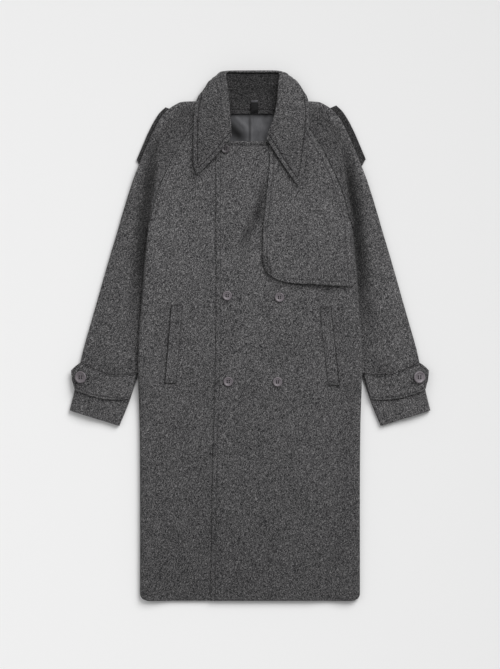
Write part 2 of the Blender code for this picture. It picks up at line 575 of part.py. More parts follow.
def sleeve_row(row):
    """Plan places across one row of a sleeve front, with its fold and the rolls of both edges."""
    in_x = row.in_x if row.drop else side_x(row.in_y) + 3.2 * SEAM
    start, end = np.array([in_x, row.in_y]), np.array([row.out_x, row.out_y])
    long = np.linalg.norm(end - start)
    shares = np.linspace(0.0, 1.0, 201)
    line = start + shares[:, None] * (end - start)
    beyond = np.nonzero(line[:, 0] > read_off(SIDE_FOLD, "x", line[:, 1]))[0]
    fold = shares[beyond[0]] if len(beyond) else FOLD_ABOVE_UNDERARM
    if row.roll > 0:
        fold = FOLD_AT_CUFF
    soft = FOLD_SOFT / long
    fold = max(fold, 1.6 * soft)
    in_roll = min(SLEEVE_ROLL / long, 0.5 * (fold - soft))
    out_roll = min(SLEEVE_ROLL / long, 0.18)
    angles = ROLL_ANGLES[::-1]
    inner = [in_roll * (1.0 - math.cos(a)) for a in angles]
    around_fold = [0.5 * (in_roll + fold - soft), fold - soft, fold, fold + soft]
    outer_start = 1.0 - out_roll
    top = [fold + soft + k * (outer_start - fold - soft) for k in FREE_SHARES]
    outer = [1.0 - out_roll * (1.0 - math.cos(a)) for a in ROLL_ANGLES]
    places = np.array(inner + around_fold + top + outer)
    level = np.ones(len(places) - len(angles))
    in_sines = np.concatenate([np.sin(angles), level])
    out_sines = np.concatenate([level, np.sin(ROLL_ANGLES)])
    plan = start + places[:, None] * (end - start)
    return plan, (places - fold) / (1.0 - fold), (1.0 - places) * long, in_sines, out_sines


def sleeve_front_heights(row, plan, past_fold, from_edge, in_sines, out_sines):
    x, y = plan[:, 0], plan[:, 1]
    valley, crest, edge = (read_off(SLEEVE_HEIGHTS, name, y) for name in ("valley", "crest", "edge"))
    outside = np.clip(past_fold, 0.0, 1.0)
    low = valley + (crest - valley) * soft_step(outside, 0.0, CREST_START)
    low = low - (crest - edge) * soft_step(outside, CREST_END, 1.0)
    tucked = row.drop * (1.0 - row.roll)
    low = low - tucked * (valley - UNDERARM_FLAT) * soft_step(past_fold, 0.0, past_fold[0] - 1e-6)
    raised = (1.0 - row.drop) * soft_step(x - read_off(SIDE_FOLD, "x", y), FOLD_SOFT, -FOLD_SOFT)
    high = front_height(x, y)
    low = low + sleeve_ground(x, y)
    z = low + raised * (high - low)
    rest = sleeve_ground(x, y)
    z = z + (edge + rest - z) * soft_step(from_edge, EDGE_EASE, SLEEVE_ROLL)
    seam = edge / 2 + rest + SEAM
    z = z - (1.0 - out_sines) * (z - seam)
    return z - row.roll * (1.0 - in_sines) * (z - (valley / 2 + SEAM / 2))


def add_sleeve(suffix, flip):
    """The front and the back piece of one sleeve, sewn along the shoulder and under the arm."""
    front, under = [], []
    for row in SLEEVE_ROWS:
        plan, past_fold, from_edge, in_sines, out_sines = sleeve_row(row)
        z = sleeve_front_heights(row, plan, past_fold, from_edge, in_sines, out_sines)
        front.append(np.column_stack([plan, z]))
        some = SLEEVE_BACK_COLUMNS
        x, y = plan[some, 0], plan[some, 1]
        base = sleeve_ground(x, y)
        edge, valley = (read_off(SLEEVE_HEIGHTS, name, y) for name in ("edge", "valley"))
        rise = (1.0 - out_sines[some]) * (edge / 2 - SEAM)
        rise = rise + row.roll * (1.0 - in_sines[some]) * (valley / 2 - SEAM / 2)
        flat = (row.drop == 1.0) & (in_sines[some] == 1.0) & (out_sines[some] == 1.0)
        uneven = UNDERSIDE_UNEVEN * flat * ((len(under) + np.arange(len(some))) % 2)
        under.append(np.column_stack([x, y, base + rise + uneven]))
    front, under = np.array(front), np.array(under)
    if flip:
        front, under = mirrored(front), mirrored(under)
    # The rows run down the sleeve, so the columns are turned round for the faces to point out.
    top = add_wall("sleeve_front_" + suffix, front, WALL, WOOL, not flip)
    add_wall("sleeve_back_" + suffix, under, WALL, WOOL, flip)
    return top


def add_storm_flap(over):
    """The flap on the wearer's left chest, caught in the neck and raglan seams, its other edges free."""
    trees = faces_of([over])
    foot_y = FLAP_FOOT_EDGE[-1].y

    def front_edge(v):
        return soft_path(FLAP_FRONT_EDGE[::-1], v)

    def foot_edge(u):
        return soft_path(FLAP_FOOT_EDGE, u)

    def side_edge(v):
        y = foot_y + np.asarray(v) * (NECK_SIDE_Y - FLAP_INSET - foot_y)
        inset = FLAP_INSET + SIDE_ROLL * side_rolled(y)
        lift = np.full(np.shape(y), FLAP_SIDE_LIFT)
        return np.stack([side_x(y) - inset, y, lift], axis=-1)

    def neck_edge(u):
        start, end = front_edge(np.ones(1))[0], side_edge(np.ones(1))[0]
        return soft_path([start, (0.0590, 0.4830, 0.0), (0.0790, 0.5110, 0.0), end], u)

    us, vs = np.meshgrid(FLAP_COLUMNS, FLAP_LINES)
    grid = four_sided(foot_edge, neck_edge, front_edge, side_edge, us, vs)
    front_lift = front_edge(vs)[..., 2] * soft_step(us, FLAP_LIFT_ACROSS, 0.0)
    foot_lift = foot_edge(us)[..., 2] * soft_step(vs, FLAP_LIFT_UP, 0.0)
    edge_lift = np.maximum(front_lift, foot_lift)
    grid[..., 2] = tops_of(trees, grid, 1.5 * NEAR) + REST_GAP + edge_lift + DOUBLE
    return add_wall("storm_flap", grid, DOUBLE, WOOL)


def places_of(columns, part):
    """The three columns of one part of a collar row, as points."""
    return np.stack([columns[part + axis] for axis in ("_x", "_y", "_z")], axis=-1)


def add_collar_fall(below):
    """The fall, from the right leaf's front edge round the back of the neck to the left leaf's."""
    trees = faces_of(below)
    stations = np.concatenate([np.linspace(0, 0.16, 6), np.linspace(0.2, 0.8, 22), np.linspace(0.84, 1, 6)])
    knots = np.linspace(0.0, 1.0, len(COLLAR_FALL))
    rows = {name: soft_curve(knots, column(COLLAR_FALL, name), stations) for name in Fall._fields}
    roll, crown, edge = (places_of(rows, part) for part in ("roll", "crown", "edge"))
    inward = roll - crown
    inward[:, 2] = 0.0
    inward /= np.linalg.norm(inward, axis=1, keepdims=True)
    behind = soft_step(np.abs(stations - 0.5), LEAF_LIP_HALF, BACK_LIP_HALF)
    lip = roll + (LEAF_LIP + (BACK_LIP - LEAF_LIP) * behind)[:, None] * inward
    lip[:, 2] -= FALL_LIP_DROP
    grid = []
    for k in range(len(stations)):
        grid.append(soft_path_3d([lip[k], roll[k], crown[k], edge[k]], FALL_ACROSS))
    grid = np.array(grid)
    facing_up = outward(grid)[..., 2] < 0.2
    clear = tops_of(trees, grid, LEAF_NEAR) + REST_GAP + DOUBLE
    leaf = facing_up & (np.abs(stations - 0.5) > FALL_NECK_HALF)[:, None]
    grid[..., 2] = np.where(leaf, np.maximum(grid[..., 2], clear), np.maximum(grid[..., 2], 0.0))
    return add_wall("collar_fall", grid, DOUBLE, WOOL, True)


def soft_path_3d(points, shares):
    """soft_path measured along the line itself, so that a row may turn under."""
    points = np.asarray(points, float)
    steps = np.linalg.norm(np.diff(points, axis=0), axis=1)
    run = np.concatenate([[0.0], np.cumsum(steps)]) / steps.sum()
    return np.stack([soft_curve(run, points[:, k], shares) for k in range(3)], axis=-1)


def add_collar_stand():
    stations = np.linspace(0.0, 1.0, 19)
    knots = np.linspace(0.0, 1.0, len(COLLAR_STAND))
    rows = {name: soft_curve(knots, column(COLLAR_STAND, name), stations) for name in Stand._fields}
    top, foot = (places_of(rows, part) for part in ("top", "foot"))
    sag = STAND_HOLLOW * np.linalg.norm(top - foot, axis=1)
    grid = []
    for share in STAND_ACROSS:
        line = foot + share * (top - foot)
        line[:, 2] -= sag * 4 * share * (1 - share) * soft_step(share, 1.2, 0.4)
        grid.append(line)
    return add_wall("collar_stand", np.array(grid), WALL, WOOL)


def add_lining(back):
    """The lining where it shows in the neck, with its centre pleat."""
    trees = faces_of([back])
    xs = LINING_COLUMNS
    ys = np.linspace(LINING_FOOT, LINING_HEAD, 7)
    grid = np.dstack([*np.meshgrid(xs, ys), np.zeros((len(ys), len(xs)))])
    pleat = PLEAT_HEIGHT * soft_step(np.abs(grid[..., 0] - PLEAT_X), PLEAT_HALF, 0.0)
    grid[..., 2] = tops_of(trees, grid, NEAR) + SEAM + LINING_THICK + pleat
    return add_wall("lining", grid, LINING_THICK, SATIN)


def add_hanger_loop(below):
    """A short tape that stands in an arch over the neck seam."""
    trees = faces_of(below)
    grid = []
    for share in np.linspace(0.0, 1.0, 7):
        y = LOOP_FOOT + share * (LOOP_HEAD - LOOP_FOOT)
        line = np.array([[LOOP_X + k * LOOP_WIDE / 2, y, 0.0] for k in (-1.0, 0.0, 1.0)])
        arch = LOOP_ARCH * math.sin(math.pi * share)
        line[:, 2] = tops_of(trees, line, NEAR).max() + SEAM + LOOP_THICK + arch
        grid.append(line)
    return add_wall("hanger_loop", np.array(grid), LOOP_THICK, TAPE)


def add_welts(under, over):
    for welt in WELTS:
        trees = faces_of([under if welt.side == "under" else over])
        head, foot = np.array([welt.head_x, welt.head_y]), np.array([welt.foot_x, welt.foot_y])
        grid = []
        for share in np.linspace(0.0, 1.0, 6):
            middle = foot + share * (head - foot)
            line = [(middle[0] + k * WELT_WIDE / 2, middle[1], 0.0) for k in (-1.0, 0.0, 1.0)]
            grid.append(line)
        grid = np.array(grid)
        grid[..., 2] = tops_of(trees, grid, WELT_NEAR) + REST_GAP + WALL
        add_wall(welt.name, grid, WALL, WOOL)


def add_cuff_strap(suffix, sleeve, flip):
    """The strap round the cuff; its pointed end reaches past the sleeve's outer edge."""
    head = np.array([(r.head_x, r.head_y) for r in CUFF_STRAP])
    foot = np.array([(r.foot_x, r.foot_y) for r in CUFF_STRAP])
    across = np.linspace(0.0, 1.0, 6)[:, None, None]
    plan = foot + across * (head - foot)
    if flip:
        plan = plan * (-1.0, 1.0)
    heights = tops_of(faces_of([sleeve]), plan, CUFF_NEAR) + CUFF_SEAT
    # Past the sleeve's crown the strap keeps its own line and hangs down a little at its point.
    past = column(CUFF_STRAP, "past")
    last_held = np.nonzero(past == 0)[0][-1]
    level = heights[:, last_held, None] - CUFF_TIP_DROP * past
    z = np.where(past > 0, level, heights)
    return add_wall("cuff_strap_" + suffix, np.dstack([plan, z]), DOUBLE, WOOL, flip)


def add_shoulder_strap(suffix, flip):
    """A pointed strap under the shoulder's edge, its front edge showing outside it."""
    edge = soft_path([(e.x, e.y) for e in SHOULDER_EDGE], np.linspace(0.0, 1.0, 9))
    along = np.gradient(edge, axis=0)
    along /= np.linalg.norm(along, axis=1, keepdims=True)
    inwards = np.stack([along[:, 1], -along[:, 0]], axis=1)
    insets = column(SHOULDER_STRAP, "inset")
    middle = (insets.max() + insets.min()) / 2
    reach = np.abs(insets - middle) / np.ptp(insets) * 2
    grid = []
    for row in range(len(edge)):
        places = edge[row] + insets[:, None] * inwards[row]
        if row == 0:
            places = places - along[row] * STRAP_POINT * (1.0 - reach)[:, None]
        if row == len(edge) - 1:
            places = places - along[row] * STRAP_CORNER * soft_step(insets, insets[2], insets[4])[:, None]
        grid.append(np.column_stack([places, column(SHOULDER_STRAP, "underside")]))
    grid = np.array(grid)
    return add_wall("shoulder_strap_" + suffix, mirrored(grid) if flip else grid, WALL, WOOL, flip)


def add_ring_solid(name, rings, look):
    """A closed turned shape, from rings of points that go from its underside round to its top."""
    sides = len(rings[0])
    points = np.concatenate(rings)
    faces = [list(range(sides))[::-1], [(len(rings) - 1) * sides + k for k in range(sides)]]
    for ring in range(len(rings) - 1):
        for k in range(sides):
            after = (k + 1) % sides
            low, high = ring * sides, (ring + 1) * sides
            faces.append([low + k, low + after, high + after, high + k])
    return add_piece(name, points, faces, look)


def circle(radius, z, sides):
    angles = 2 * math.pi * np.arange(sides) / sides
    return np.stack([radius * np.cos(angles), radius * np.sin(angles), np.full(sides, z)], axis=1)


def add_button(button, below):
    """A round button with a raised rim and four holes, on the piece it is sewn to."""
    radius = button.across / 2
    rings = [circle(radius * r.reach, BUTTON_THICK * r.height, BUTTON_SIDES) for r in BUTTON_RINGS]
    piece = add_ring_solid(button.name, rings, HORN)
    spread = HOLE_SPREAD * button.across
    for turn in range(4):
        angle = math.pi / 4 + turn * math.pi / 2
        hole = add_ring_solid(
            f"{button.name}_hole_{turn}",
            [circle(BUTTON_HOLE / 2, z, BUTTON_HOLE_SIDES) for z in (-BUTTON_THICK, 2 * BUTTON_THICK)],
            HORN,
        )
        hole.data.transform(matrix_at(spread * math.cos(angle), spread * math.sin(angle), 0.0, 0.0))
        hole.hide_render = True
        hole.display_type = "WIRE"
        cut = piece.modifiers.new(f"hole_{turn}", "BOOLEAN")
        cut.operation = "DIFFERENCE"
        cut.solver = "EXACT"
        cut.object = hole
    reach = [(button.x + radius * c, button.y + radius * s) for c, s in circle(1.0, 0.0, 8)[:, :2]]
    trees = faces_of(below)
    heights = [top_of(trees, x, y) for x, y in reach]
    if button.tilt:
        seat = top_of(trees, button.x, button.y) + TILTED_SEAT
    else:
        seat = max(heights) + SEAM
    place = matrix_at(button.x, button.y, seat, button.tilt)
    settle(piece, place)


def matrix_at(x, y, z, tilt):
    return Matrix.Translation((x, y, z)) @ Matrix.Rotation(tilt, 4, "Y")


def settle(piece, place):
    """Cuts the piece's holes for good and moves it to its place."""
    graph = bpy.context.evaluated_depsgraph_get()
    finished = bpy.data.meshes.new_from_object(piece.evaluated_get(graph))
    cutters = [m.object for m in piece.modifiers]
    piece.modifiers.clear()
    piece.data = finished
    for cutter in cutters:
        bpy.data.objects.remove(cutter)
    piece.data.transform(place)


def main():
    for old in list(bpy.data.objects):
        bpy.data.objects.remove(old)
    back = add_back()
    under, over = add_fronts()
    sleeve_r = add_sleeve("r", True)
    sleeve_l = add_sleeve("l", False)
    flap = add_storm_flap(over)
    lining = add_lining(back)
    stand = add_collar_stand()
    add_hanger_loop([back, lining, stand])
    add_collar_fall([under, over, flap, sleeve_r, sleeve_l])
    add_welts(under, over)
    strap_r = add_cuff_strap("r", sleeve_r, True)
    strap_l = add_cuff_strap("l", sleeve_l, False)
    add_shoulder_strap("r", True)
    add_shoulder_strap("l", False)
    for button in BUTTONS:
        add_button(button, [under, over, strap_r, strap_l])


main()
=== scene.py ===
"""Dresses the long wool overcoat that lies flat with its front up.

Metres, +Z up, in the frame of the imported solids. Each cloth piece is drawn again from the sizes that its
solid was made from, then refined, creased and given a rounded edge. Topstitching, buttons and thread are
laid on top.
"""

import math
from collections import namedtuple

import bpy
import numpy as np
from mathutils import Matrix, Vector
from mathutils.bvhtree import BVHTree
from mathutils.kdtree import KDTree


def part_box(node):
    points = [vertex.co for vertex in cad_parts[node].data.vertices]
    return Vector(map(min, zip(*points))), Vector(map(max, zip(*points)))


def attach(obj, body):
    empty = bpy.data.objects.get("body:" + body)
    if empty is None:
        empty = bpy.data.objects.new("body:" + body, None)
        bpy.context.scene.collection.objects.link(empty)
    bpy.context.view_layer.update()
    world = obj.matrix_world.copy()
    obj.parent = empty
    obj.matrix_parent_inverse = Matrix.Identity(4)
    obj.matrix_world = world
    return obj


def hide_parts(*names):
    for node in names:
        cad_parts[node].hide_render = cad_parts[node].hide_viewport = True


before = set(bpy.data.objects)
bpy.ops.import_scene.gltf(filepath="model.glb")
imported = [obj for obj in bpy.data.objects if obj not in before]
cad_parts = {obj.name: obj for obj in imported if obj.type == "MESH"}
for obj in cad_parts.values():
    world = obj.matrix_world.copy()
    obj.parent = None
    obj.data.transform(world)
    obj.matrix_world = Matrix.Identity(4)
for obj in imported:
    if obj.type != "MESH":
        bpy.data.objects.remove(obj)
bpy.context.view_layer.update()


def table(columns, rows):
    """Rows with named columns."""
    kind = namedtuple("Row", columns)
    return [kind(*row) for row in rows]


# Cloth
WALL = 0.0026  # melange coating with its fusing
DOUBLE = 0.0032  # collar, flap and cuff straps: two layers pressed flat
SEAM = 0.0003  # between two pieces that are sewn together
REST_GAP = 0.0005  # between a piece and what it lies on, where both bend
NEAR = 0.0070  # a piece rests on the highest point within this reach of each of its own
FEELERS = 8  # that reach is felt in so many directions

# The coat lying flat
HEM_Y = -0.6348
HEM_CORNER = 0.017
MID_THICK = 0.0084  # back and one front, lying on each other
SIDE_THICK = 0.0150  # the same at the side fold
SIDE_ROLL = 0.0070  # how far in from the side edge the fold rounds over
SIDE_SWELL = 0.070  # the body thickens over this width towards its side fold
TUCK_RISE = 0.0074  # the body's side lies on the sleeve that is tucked under it
TUCK_RAMP = 0.050
TUCK_END, TUCK_FULL = -0.180, -0.115  # the tuck fades out between these heights
NECK_RISE = 0.0047  # the back of the collar is folded under the neck
NECK_STEP_FOOT, NECK_STEP_HEAD = 0.472, 0.505  # the rise begins and is complete at these heights
NECK_STEP_WIDE, NECK_STEP_FULL = 0.175, 0.140  # and so across
STRAP_RISE = 0.0034  # the shoulder strap lies under the shoulder's edge
STRAP_STEP_FOOT, STRAP_STEP_HEAD = 0.335, 0.385  # the sleeve comes up on to the strap between these heights
STRAP_STEP_IN, STRAP_STEP_OUT = 0.130, 0.160
STRAP_REACH, STRAP_REACH_FULL = 0.075, 0.050  # measured in from the shoulder's edge
ARMHOLE_FOOT_Y = 0.275  # below this the front and the back close into a side fold
SIDE_CLOSED_Y = 0.245

# The fronts
OVERLAP_END = 0.100  # how far the lower front reaches under the upper one
OVERLAP_EASE, OVERLAP_SETTLED = 0.150, 0.205  # between these the upper front comes down to the lower one
NECK_SIDE_X, NECK_SIDE_Y = 0.098, 0.5385  # where the raglan seam meets the neck seam
BACK_NECK_Y = NECK_SIDE_Y

# Outline of the body: the side fold from the hem to the shoulder
SIDE_FOLD = table("y x", [
    (-0.6348, 0.2635),
    (-0.2260, 0.2645),
    (-0.1060, 0.2676),
    (-0.0342, 0.2680),
    (0.0500, 0.2620),
    (0.1650, 0.2535),
    (0.2538, 0.2450),
    (0.2850, 0.2415),
    (0.3556, 0.2310),
    (0.4480, 0.2220),
    (0.5800, 0.2160),
])
RAGLAN_SEAM = table("y x", [
    (0.2700, 0.2440),
    (0.2840, 0.2375),
    (0.3130, 0.2300),
    (0.3450, 0.2205),
    (0.3770, 0.2080),
    (0.4080, 0.1930),
    (0.4400, 0.1770),
    (0.4986, 0.1390),
    (NECK_SIDE_Y, NECK_SIDE_X),
])
FRONT_EDGE = table("y x", [
    (-0.6348, -0.0940),
    (-0.3000, -0.0890),
    (-0.0400, -0.0820),
    (0.4660, -0.0816),
])
# Necklines of the fronts, from the free edge to the raglan seam, drawn with the side at +X
UNDER_NECK = table("x y", [
    (-OVERLAP_END, 0.4500),
    (0.0300, 0.4530),
    (0.0540, 0.4760),
    (0.0760, 0.5130),
    (NECK_SIDE_X, NECK_SIDE_Y),
])
OVER_NECK = table("x y", [
    (-0.0816, 0.4660),
    (0.0380, 0.4660),
    (0.0560, 0.4840),
    (0.0760, 0.5130),
    (NECK_SIDE_X, NECK_SIDE_Y),
])
# Heights of the rows of points on the body, measured at its side: the hem's corner, the skirt, the pockets
# and sleeves, then the places where the raglan seam and the sleeve share points
HEM_ROWS = [-0.6348, -0.6290, -0.6178]
SKIRT_ROWS = [-0.520, -0.400, -0.290, -0.200]
POCKET_ROWS = [-0.155, -0.110, -0.055, 0.000, 0.060]
CHEST_ROWS = [0.115, 0.165, 0.205, 0.235, 0.260]
RAGLAN_ROWS = [0.284, 0.313, 0.345, 0.377, 0.408, 0.440, 0.472, 0.4986, 0.5205]
BODY_ROWS = HEM_ROWS + SKIRT_ROWS + POCKET_ROWS + CHEST_ROWS + RAGLAN_ROWS
ROLL_ANGLES = np.radians([90.0, 60.0, 30.0, 0.0])  # points round a folded edge, from its top to its seam
PLAIN_SHARES = np.linspace(0.0, 0.84, 7)  # columns on the flat of a front
MOST_ROLL = 0.3  # the side's roll takes at most this share of a front's row
# The back's ramp over the tucked sleeve starts within this share of its half width, and is up by this many
# side rolls from its edge
RAMP_FOOT_MOST, RAMP_HEAD_IN = 0.62, 1.4

# A sleeve, the wearer's left, from the neck to the cuff. drop is 0 on the body's level and 1 below it,
# roll is 1 where the inner edge is a rounded fold.
SLEEVE_ROWS = table("out_x out_y in_x in_y drop roll", [
    (0.1060, 0.5560, 0.0980, 0.5385, 0.0, 0.0),
    (0.1300, 0.5620, 0.1180, 0.5205, 0.0, 0.0),
    (0.1608, 0.5608, 0.1390, 0.4986, 0.0, 0.0),
    (0.1824, 0.5520, 0.1575, 0.4720, 0.0, 0.0),
    (0.2088, 0.5290, 0.1770, 0.4400, 0.0, 0.0),
    (0.2304, 0.4930, 0.1930, 0.4080, 0.0, 0.0),
    (0.2500, 0.4490, 0.2080, 0.3770, 0.0, 0.0),
    (0.2670, 0.4080, 0.2205, 0.3450, 0.0, 0.0),
    (0.2800, 0.3740, 0.2300, 0.3130, 0.0, 0.0),
    (0.2900, 0.3440, 0.2375, 0.2840, 0.0, 0.0),
    (0.2955, 0.3270, 0.2450, 0.2660, 0.5, 0.0),
    (0.3010, 0.3080, 0.2470, 0.2520, 1.0, 0.0),
    (0.3080, 0.2850, 0.2260, 0.2320, 1.0, 0.0),
    (0.3180, 0.2500, 0.2000, 0.2050, 1.0, 0.0),
    (0.3330, 0.2000, 0.1945, 0.1650, 1.0, 0.0),
    (0.3475, 0.1500, 0.2020, 0.1150, 1.0, 0.0),
    (0.3650, 0.0880, 0.2150, 0.0600, 1.0, 0.0),
    (0.3840, 0.0220, 0.2340, 0.0000, 1.0, 0.0),
    (0.4005, -0.0370, 0.2540, -0.0580, 1.0, 0.0),
    (0.4120, -0.0900, 0.2736, -0.1104, 1.0, 0.6),
    (0.4220, -0.1360, 0.2880, -0.1550, 1.0, 1.0),
    (0.4325, -0.1790, 0.3130, -0.2160, 1.0, 1.0),
])
SLEEVE_HEIGHTS = table("y valley crest edge", [
    (-0.2200, 0.0110, 0.0145, 0.0115),
    (-0.1500, 0.0105, 0.0150, 0.0115),
    (-0.1000, 0.0075, 0.0170, 0.0115),
    (-0.0500, 0.0060, 0.0190, 0.0115),
    (0.2500, 0.0060, 0.0190, 0.0115),
    (0.2850, 0.0066, 0.0175, 0.0115),
    (0.3556, 0.0075, 0.0150, 0.0115),
    (0.4480, 0.0085, 0.0110, 0.0095),
    (0.5000, 0.0095, 0.0100, 0.0090),
    (0.5700, 0.0095, 0.0095, 0.0090),
])
SLEEVE_ROLL = 0.0060
EDGE_EASE = 0.0300  # over this width the sleeve comes to its edge's height
FOLD_SOFT = 0.0045  # half the width of the step from the body's level down to the sleeve's
UNDERARM_FLAT = 2 * WALL + SEAM  # two cloths sewn flat on each other
# Shares of a sleeve row's width
FOLD_ABOVE_UNDERARM = 0.60  # where the row's middle point goes on the shoulder, which has no fold
FOLD_AT_CUFF = 0.30  # and below the body's side, where the sleeve lies free
FREE_SHARES = (0.2, 0.45, 0.72)  # points from the fold to the outer roll
FOLD_ROOM = 1.6  # the fold stays at least this many of its half widths from the inner edge
OUT_ROLL_MOST = 0.18  # the outer roll takes at most this share of a row
CREST_START, CREST_END = 0.42, 0.55  # the sleeve's crown
SLEEVE_OFF_SEAM = 3.2 * SEAM  # from the raglan line to the sleeve's edge
FOLD_SEARCH = np.linspace(0.0, 1.0, 201)  # places along a row at which its fold is looked for
# The sleeve's back has fewer points: these of its front's, both rolls kept
SLEEVE_BACK_COLUMNS = [0, 1, 2, 3, 6, 9, 11, 12, 13, 14]

# Where the sleeve's tucked edge runs under the body
TUCKED_EDGE = table("y x", [
    (-0.0300, 0.2360),
    (0.0000, 0.2290),
    (0.0600, 0.2100),
    (0.1150, 0.1970),
    (0.1650, 0.1895),
    (0.2050, 0.1940),
])

# Collar fall: each row runs from the roll line over the crown to the free edge.
# The rows go from the tip of the wearer's right leaf round the back of the neck to the left tip.
COLLAR_FALL = table("roll_x roll_y roll_z crown_x crown_y crown_z edge_x edge_y edge_z", [
    (-0.0445, 0.4746, 0.0215, -0.0790, 0.4325, 0.0190, -0.1272, 0.3840, 0.0125),
    (-0.0452, 0.4890, 0.0250, -0.0860, 0.4550, 0.0215, -0.1349, 0.4080, 0.0130),
    (-0.0470, 0.5130, 0.0295, -0.0910, 0.4800, 0.0245, -0.1358, 0.4420, 0.0140),
    (-0.0500, 0.5450, 0.0335, -0.0930, 0.5180, 0.0270, -0.1356, 0.4890, 0.0155),
    (-0.0530, 0.5750, 0.0355, -0.0940, 0.5540, 0.0280, -0.1340, 0.5320, 0.0170),
    (-0.0560, 0.6020, 0.0355, -0.0985, 0.5890, 0.0255, -0.1275, 0.5650, 0.0165),
    (-0.0580, 0.6150, 0.0345, -0.0990, 0.6060, 0.0205, -0.1150, 0.5800, 0.0040),
    (-0.0575, 0.6235, 0.0335, -0.0830, 0.6205, 0.0170, -0.0860, 0.5450, 0.0000),
    (-0.0480, 0.6290, 0.0325, -0.0580, 0.6348, 0.0150, -0.0540, 0.5210, 0.0000),
    (0.0060, 0.6290, 0.0320, 0.0060, 0.6348, 0.0145, 0.0060, 0.5150, 0.0000),
    (0.0630, 0.6290, 0.0325, 0.0720, 0.6340, 0.0150, 0.0660, 0.5210, 0.0000),
    (0.0700, 0.6235, 0.0335, 0.0950, 0.6215, 0.0170, 0.0960, 0.5450, 0.0000),
    (0.0705, 0.6150, 0.0345, 0.1120, 0.6085, 0.0205, 0.1270, 0.5800, 0.0040),
    (0.0690, 0.6020, 0.0355, 0.1140, 0.5920, 0.0255, 0.1385, 0.5670, 0.0165),
    (0.0672, 0.5750, 0.0355, 0.1070, 0.5560, 0.0280, 0.1420, 0.5350, 0.0170),
    (0.0635, 0.5440, 0.0340, 0.1040, 0.5170, 0.0275, 0.1405, 0.4900, 0.0165),
    (0.0545, 0.5110, 0.0305, 0.0960, 0.4700, 0.0255, 0.1340, 0.4390, 0.0165),
    (0.0450, 0.4880, 0.0265, 0.0860, 0.4330, 0.0230, 0.1275, 0.3900, 0.0165),
    (0.0400, 0.4700, 0.0235, 0.0730, 0.4170, 0.0205, 0.1150, 0.3570, 0.0165),
])
LEAF_LIP, BACK_LIP = 0.0020, 0.0015  # how far the fall turns in over its roll, on a leaf and behind the neck
# One lip becomes the other between these shares of the collar's length, from its middle
BACK_LIP_HALF, LEAF_LIP_HALF = 0.09, 0.19
FALL_LIP_DROP = 0.0008
# Places of the points along the collar, and across it from the lip to the free edge
FALL_ALONG = np.concatenate([np.linspace(0, 0.16, 6), np.linspace(0.2, 0.8, 22), np.linspace(0.84, 1, 6)])
FALL_ACROSS = [0.0, 0.04, 0.1, 0.22, 0.36, 0.5, 0.64, 0.8, 1.0]
FALL_NECK_HALF = 0.17  # share of the collar's length, each way from its middle, that is folded under the neck
LEAF_NEAR = 2.5 * NEAR
LEAF_SLOPE = 0.2  # a leaf is lifted clear of what it lies on where its inner normal rises less than this

# Collar stand: the inside of the neck, from the neck seam up to the roll
COLLAR_STAND = table("top_x top_y top_z foot_x foot_y foot_z", [
    (-0.0510, 0.5120, 0.0235, -0.0500, 0.4980, 0.0117),
    (-0.0540, 0.5450, 0.0280, -0.0495, 0.5180, 0.0125),
    (-0.0570, 0.5760, 0.0300, -0.0470, 0.5280, 0.0142),
    (-0.0590, 0.6000, 0.0300, -0.0380, 0.5310, 0.0142),
    (-0.0600, 0.6140, 0.0290, -0.0310, 0.5310, 0.0142),
    (-0.0575, 0.6230, 0.0280, -0.0240, 0.5310, 0.0142),
    (-0.0450, 0.6255, 0.0265, -0.0160, 0.5310, 0.0142),
    (0.0060, 0.6255, 0.0262, 0.0060, 0.5310, 0.0142),
    (0.0570, 0.6255, 0.0265, 0.0290, 0.5310, 0.0142),
    (0.0700, 0.6230, 0.0280, 0.0360, 0.5310, 0.0142),
    (0.0730, 0.6140, 0.0290, 0.0430, 0.5310, 0.0142),
    (0.0725, 0.6000, 0.0300, 0.0500, 0.5310, 0.0142),
    (0.0712, 0.5760, 0.0300, 0.0560, 0.5280, 0.0142),
    (0.0675, 0.5450, 0.0285, 0.0590, 0.5180, 0.0125),
    (0.0585, 0.5120, 0.0245, 0.0560, 0.4980, 0.0120),
])
STAND_HOLLOW = 0.075  # between its two edges the stand sags by this share of its width
STAND_ALONG = np.linspace(0.0, 1.0, 19)
STAND_ACROSS = (0.0, 0.2, 0.45, 0.7, 1.0)
SAG_NONE, SAG_FULL = 1.2, 0.4  # shares across the stand: the sag fades from SAG_FULL towards its top

# Storm flap: its free edge from the neck down, round the corner and across to the side
FLAP_EDGE = "x y lift"
FLAP_FRONT_EDGE = table(FLAP_EDGE, [
    (0.0445, 0.4640, 0.0000),
    (0.0470, 0.4200, 0.0008),
    (0.0400, 0.3400, 0.0045),
    (0.0325, 0.2650, 0.0050),
    (0.0302, 0.1950, 0.0030),
    (0.0330, 0.1660, 0.0024),
    (0.0440, 0.1480, 0.0020),
])
FLAP_FOOT_EDGE = table(FLAP_EDGE, [
    (0.0440, 0.1480, 0.0020),
    (0.0610, 0.1360, 0.0020),
    (0.0920, 0.1270, 0.0024),
    (0.1500, 0.1230, 0.0022),
    (0.2100, 0.1190, 0.0012),
    (0.2490, 0.1170, 0.0004),
])
FLAP_NECK_EDGE = [(0.0590, 0.4830, 0.0), (0.0790, 0.5110, 0.0)]  # between the free edge and the raglan seam
FLAP_NEAR = 1.5 * NEAR
FLAP_INSET = 0.0030  # the flap's side edge stays this far inside the raglan seam
FLAP_SIDE_LIFT = 0.0004
FLAP_LIFT_ACROSS, FLAP_LIFT_UP = 0.35, 0.22  # shares of the flap over which its free edges lift
FLAP_COLUMNS = [0.0, 0.07, *np.linspace(0.18, 1.0, 9)]
FLAP_LINES = [0.0, 0.06, *np.linspace(0.15, 1.0, 14)]

